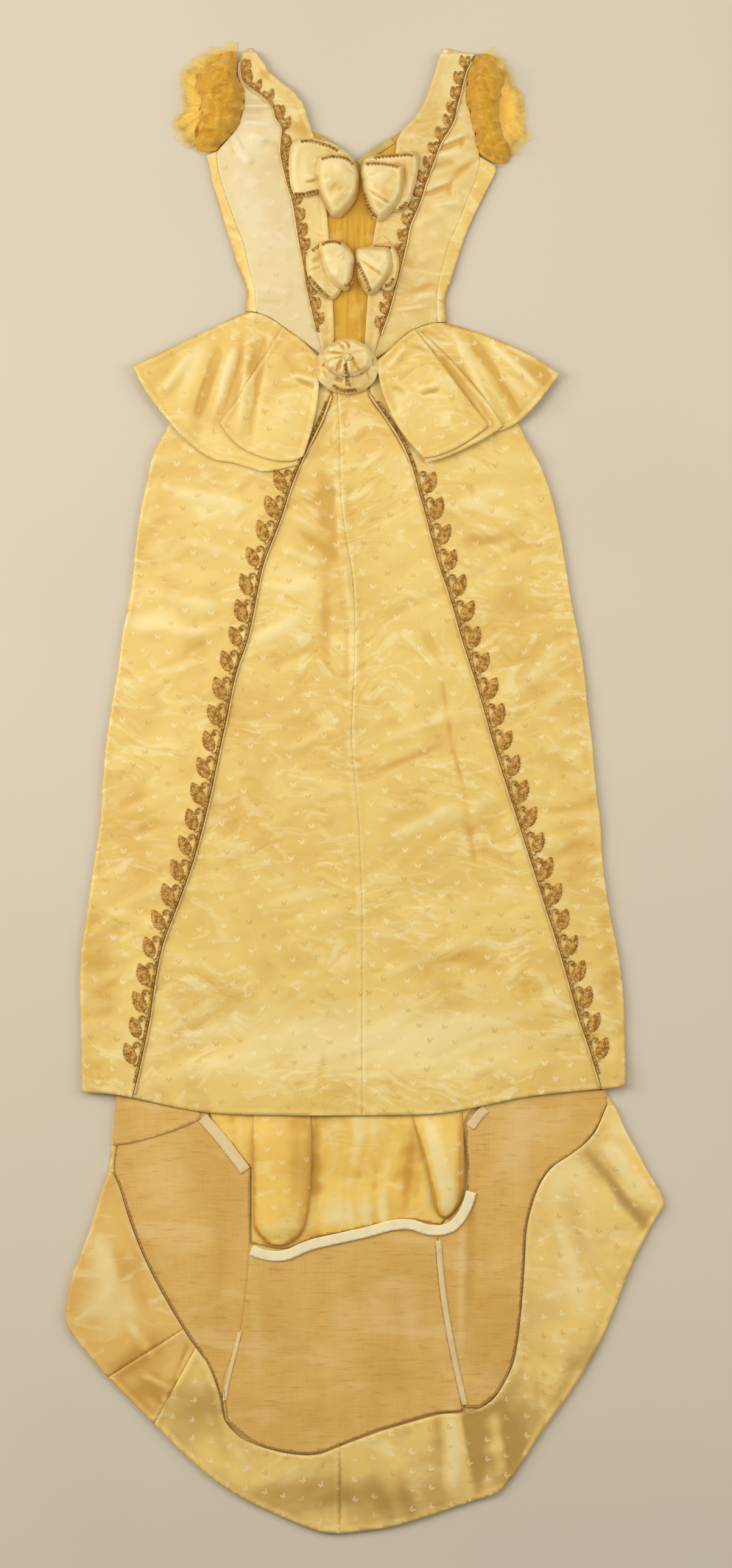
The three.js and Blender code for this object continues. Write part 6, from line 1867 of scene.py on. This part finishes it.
class GOWN_OT_rosette(bpy.types.Operator):
    """Gathered rosette at the point of the waist"""

    bl_idname = "gown.rosette"
    bl_label = "Rosette"

    def execute(self, context):
        sizes, _ = settings()
        finishes = braid_finishes()
        fine = sizes.bow_net * 0.8
        form = {"heap": 9, "even": 3, "grow": 0.9, "soften": 14, "tones": BOW_PAINTED_SHADING}
        form["relief"] = pulled_relief(RING_GATHERS, 1.6, ROSETTE_CREASES)
        cloth("rosette_ring", satin(10, "bow"), fine, **form)
        form.update({"heap": 7, "grow": 0.7, "soften": 10})
        form["relief"] = pulled_relief(CAP_GATHERS, 1.6, ROSETTE_CREASES)
        cloth("rosette_cap", satin(-6, "bow"), fine, **form)
        piece, hollow = shell("rosette_knot", KNOT_NET, knot_relief, heap=4, grow=-1.6)
        pale = [satin(0, "bow")]
        knot = sewn(piece, "rosette_knot_cloth", pale, hollow, "rosette_knot")
        for i, line in enumerate(ROSETTE_EDGES):
            trim = edging(line, ["rosette_ring", "rosette_cap"], 20.0)
            sewn(trim, f"rosette_edging_{i}", finishes)
        return {"FINISHED"}


def puff_relief(x, y):
    crumple = lattice(x / 12, y / 14, 44) + 0.6 * lattice(x / 5, y / 6, 45)
    return 2.8 * (np.abs(crumple - 0.8) - 0.2) + 1.3 * creased(x, y, PUFF_CREASES)


def frill_layer(node, centre, layer):
    """One ruffled layer of net, from under the puff out past its edge."""
    rim = rim_of(*solid_of(node), 2.0)
    cx, cy = centre
    angles = np.arctan2(rim[:, 1] - cy, rim[:, 0] - cx)
    reach = np.hypot(rim[:, 0] - cx, rim[:, 1] - cy)
    mean = math.atan2(np.sin(angles).mean(), np.cos(angles).mean())
    rel = np.angle(np.exp(1j * (angles - mean)))
    low, high = np.percentile(rel, 1), np.percentile(rel, 99)
    steps, rows = 150, 9
    turn = low + (high - low) * np.arange(steps + 1) / steps
    outer = np.array([reach[np.abs(rel - a) < 0.09].max(initial=0) for a in turn])
    outer = np.where(outer > 0, outer, reach.max() * 0.9)
    outer = softened(outer, 4)
    spot = np.full(steps + 1, layer * 5.3)
    edge = 0.93 - 0.07 * layer + 0.13 * lattice(turn * 5.5, spot, 61)
    edge += 0.05 * lattice(turn * 17, spot, 62)
    grid, fade = [], []
    for i, a in enumerate(turn):
        for j in range(rows):
            t = j / (rows - 1)
            r = outer[i] * (0.12 + (edge[i] - 0.12) * t)
            u, v = np.array(a * 9 + layer * 3.7), np.array(t * 2.2 + layer * 1.9)
            ruffle = float(lattice(u, v, 63)) + 0.5 * float(lattice(u * 2.3, v * 1.7, 64)) - 0.75
            z = 4.6 + 2.0 * layer + 5.5 * ruffle * (0.15 + 0.85 * t) - 2.0 * t * t
            ang = a + mean + 0.05 * t * ruffle
            grid.append((cx + r * math.cos(ang), cy + r * math.sin(ang), max(1.0, z)))
            # the share of the way out, less in the ruffles' troughs: it sets the frill's painted
            # shade and its thinning
            fade.append(t + 0.35 * ruffle)
    faces = []
    for i in range(steps):
        for j in range(rows - 1):
            k = i * rows + j
            faces.append((k, k + rows, k + rows + 1, k + 1))
    lower = [(x, y, z - 0.4) for x, y, z in grid]
    return doubled(grid, lower, faces), np.array(fade + fade)


# middle of each armhole, from which its frill fans out, and the thread that hangs loose there
ARMHOLES = {"left": (-188, 902), "right": (160, 896)}
LOOSE_THREAD = ((-214, 907), (-213, 901), (-215, 895), (-218, 890), (-215, 886), (-212, 888))


class GOWN_OT_sleeves(bpy.types.Operator):
    """Puffs of silk net with ruffled frills"""

    bl_idname = "gown.sleeves"
    bl_label = "Sleeves"

    def execute(self, context):
        sizes, colours = settings()
        thick = finish_once(
            "puffed_net",
            tulle_finish,
            rgb(colours.tulle),
            rgb(colours.tulle_deep_and_painted_shade),
            # the colour of the net's painted highlight
            (0.84, 0.54, 0.09),
        )
        thin = finish_once("frilled_net", frill_finish, (0.94, 0.69, 0.17), (0.82, 0.48, 0.055))
        form = {"heap": 16, "even": 4, "grow": 2.0, "soften": 6, "ragged": 1.1}
        for word, centre in ARMHOLES.items():
            puff, node = f"sleeve_puff_{word}", f"sleeve_frill_{word}"
            cloth(puff, thick, sizes.bow_net, relief=puff_relief, **form)
            for layer in range(3):
                piece, fade = frill_layer(node, centre, layer)
                stands_for = node if layer == 0 else None
                sewn(piece, f"net_{node}_{layer}", [thin], fade, stands_for)
        loose = Piece()
        path = [(x, y, 0.4) for x, y in flowing(LOOSE_THREAD, 1)]
        loose.add(*tube(settled(path, ["sleeve_puff_left"], 12.0), 0.4, sides=5))
        sewn(loose, "sleeve_left_thread", [edge_thread()])
        return {"FINISHED"}


# lamp: place and sides in m, and power in W
LAMPS = {
    "lamp_left": ((-2.3, 0.7, 1.9), 1.2, 2.4, 52),
    "lamp_right": ((2.3, 0.5, 2.1), 1.2, 2.4, 33),
    "lamp_top": ((0.0, 2.6, 3.0), 2.2, 1.0, 24),
    "lamp_sheen": ((-0.9, 1.1, 3.4), 0.5, 1.6, 14),
}
LAMP_WHITE, ROOM_WHITE, ROOM_LIGHT = (1.0, 0.965, 0.91), (1.0, 0.97, 0.93, 1), 0.295
FLOOR_LEVEL = -0.6  # mm
CAMERA_OVER = (0.0016, 0.0069)  # m
SENSOR = 36.0  # mm


class GOWN_OT_stage(bpy.types.Operator):
    """Pale floor, soft lamps and a camera straight above"""

    bl_idname = "gown.stage"
    bl_label = "Stage"

    def execute(self, context):
        sizes, colours = settings()
        half = sizes.floor / 2
        piece = Piece()
        around = ((-1, -1), (1, -1), (1, 1), (-1, 1))
        piece.add([(x * half, y * half, FLOOR_LEVEL) for x, y in around], [(0, 1, 2, 3)])
        floor = piece.make("floor", [finish_once("pale_floor", floor_finish, rgb(colours.floor))])
        for name, (place, wide, long, power) in LAMPS.items():
            lamp = bpy.data.lights.new(name, "AREA")
            lamp.shape, lamp.size, lamp.size_y, lamp.energy = "RECTANGLE", wide, long, power
            lamp.color = LAMP_WHITE
            obj = bpy.data.objects.new(name, lamp)
            obj.location = place
            obj.rotation_euler = (-Vector(place)).to_track_quat("-Z", "Y").to_euler()
            bpy.context.scene.collection.objects.link(obj)
        world = bpy.data.worlds.new("soft_room")
        world.use_nodes = True
        back = world.node_tree.nodes["Background"]
        back.inputs["Color"].default_value = ROOM_WHITE
        back.inputs["Strength"].default_value = ROOM_LIGHT
        bpy.context.scene.world = world
        bpy.context.scene.view_settings.view_transform = "Standard"
        lens = bpy.data.cameras.new("camera")
        lens.sensor_width = SENSOR
        lens.lens = SENSOR * sizes.height / sizes.seen
        camera = bpy.data.objects.new("camera", lens)
        camera.location = (*CAMERA_OVER, sizes.height * MM)
        bpy.context.scene.collection.objects.link(camera)
        bpy.context.scene.camera = camera
        return {"FINISHED"}


OPERATORS = (
    GOWN_OT_skirt_back,
    GOWN_OT_train,
    GOWN_OT_canvas,
    GOWN_OT_skirt_front,
    GOWN_OT_peplum,
    GOWN_OT_bodice,
    GOWN_OT_piping,
    GOWN_OT_braid,
    GOWN_OT_bows,
    GOWN_OT_rosette,
    GOWN_OT_sleeves,
    GOWN_OT_stage,
)


class GOWN_PT_panel(bpy.types.Panel):
    """Lists the gown's pieces, sizes and colours"""

    bl_idname = "GOWN_PT_panel"
    bl_label = "Gown"
    bl_space_type = "VIEW_3D"
    bl_region_type = "UI"
    bl_category = "Gown"

    def draw(self, context):
        for operator in OPERATORS:
            self.layout.operator(operator.bl_idname)
        for group in (context.scene.gown_sizes, context.scene.gown_colours):
            box = self.layout.box()
            for key in group.__annotations__:
                box.prop(group, key)


CLASSES = (GownColours, GownSizes, *OPERATORS, GOWN_PT_panel)


def register():
    for item in CLASSES:
        bpy.utils.register_class(item)
    bpy.types.Scene.gown_colours = bpy.props.PointerProperty(type=GownColours)
    bpy.types.Scene.gown_sizes = bpy.props.PointerProperty(type=GownSizes)


def unregister():
    del bpy.types.Scene.gown_sizes
    del bpy.types.Scene.gown_colours
    for item in reversed(CLASSES):
        bpy.utils.unregister_class(item)


def main():
    register()
    for operator in OPERATORS:
        group, word = operator.bl_idname.split(".")
        getattr(getattr(bpy.ops, group), word)()


if __name__ == "__main__":
    main()
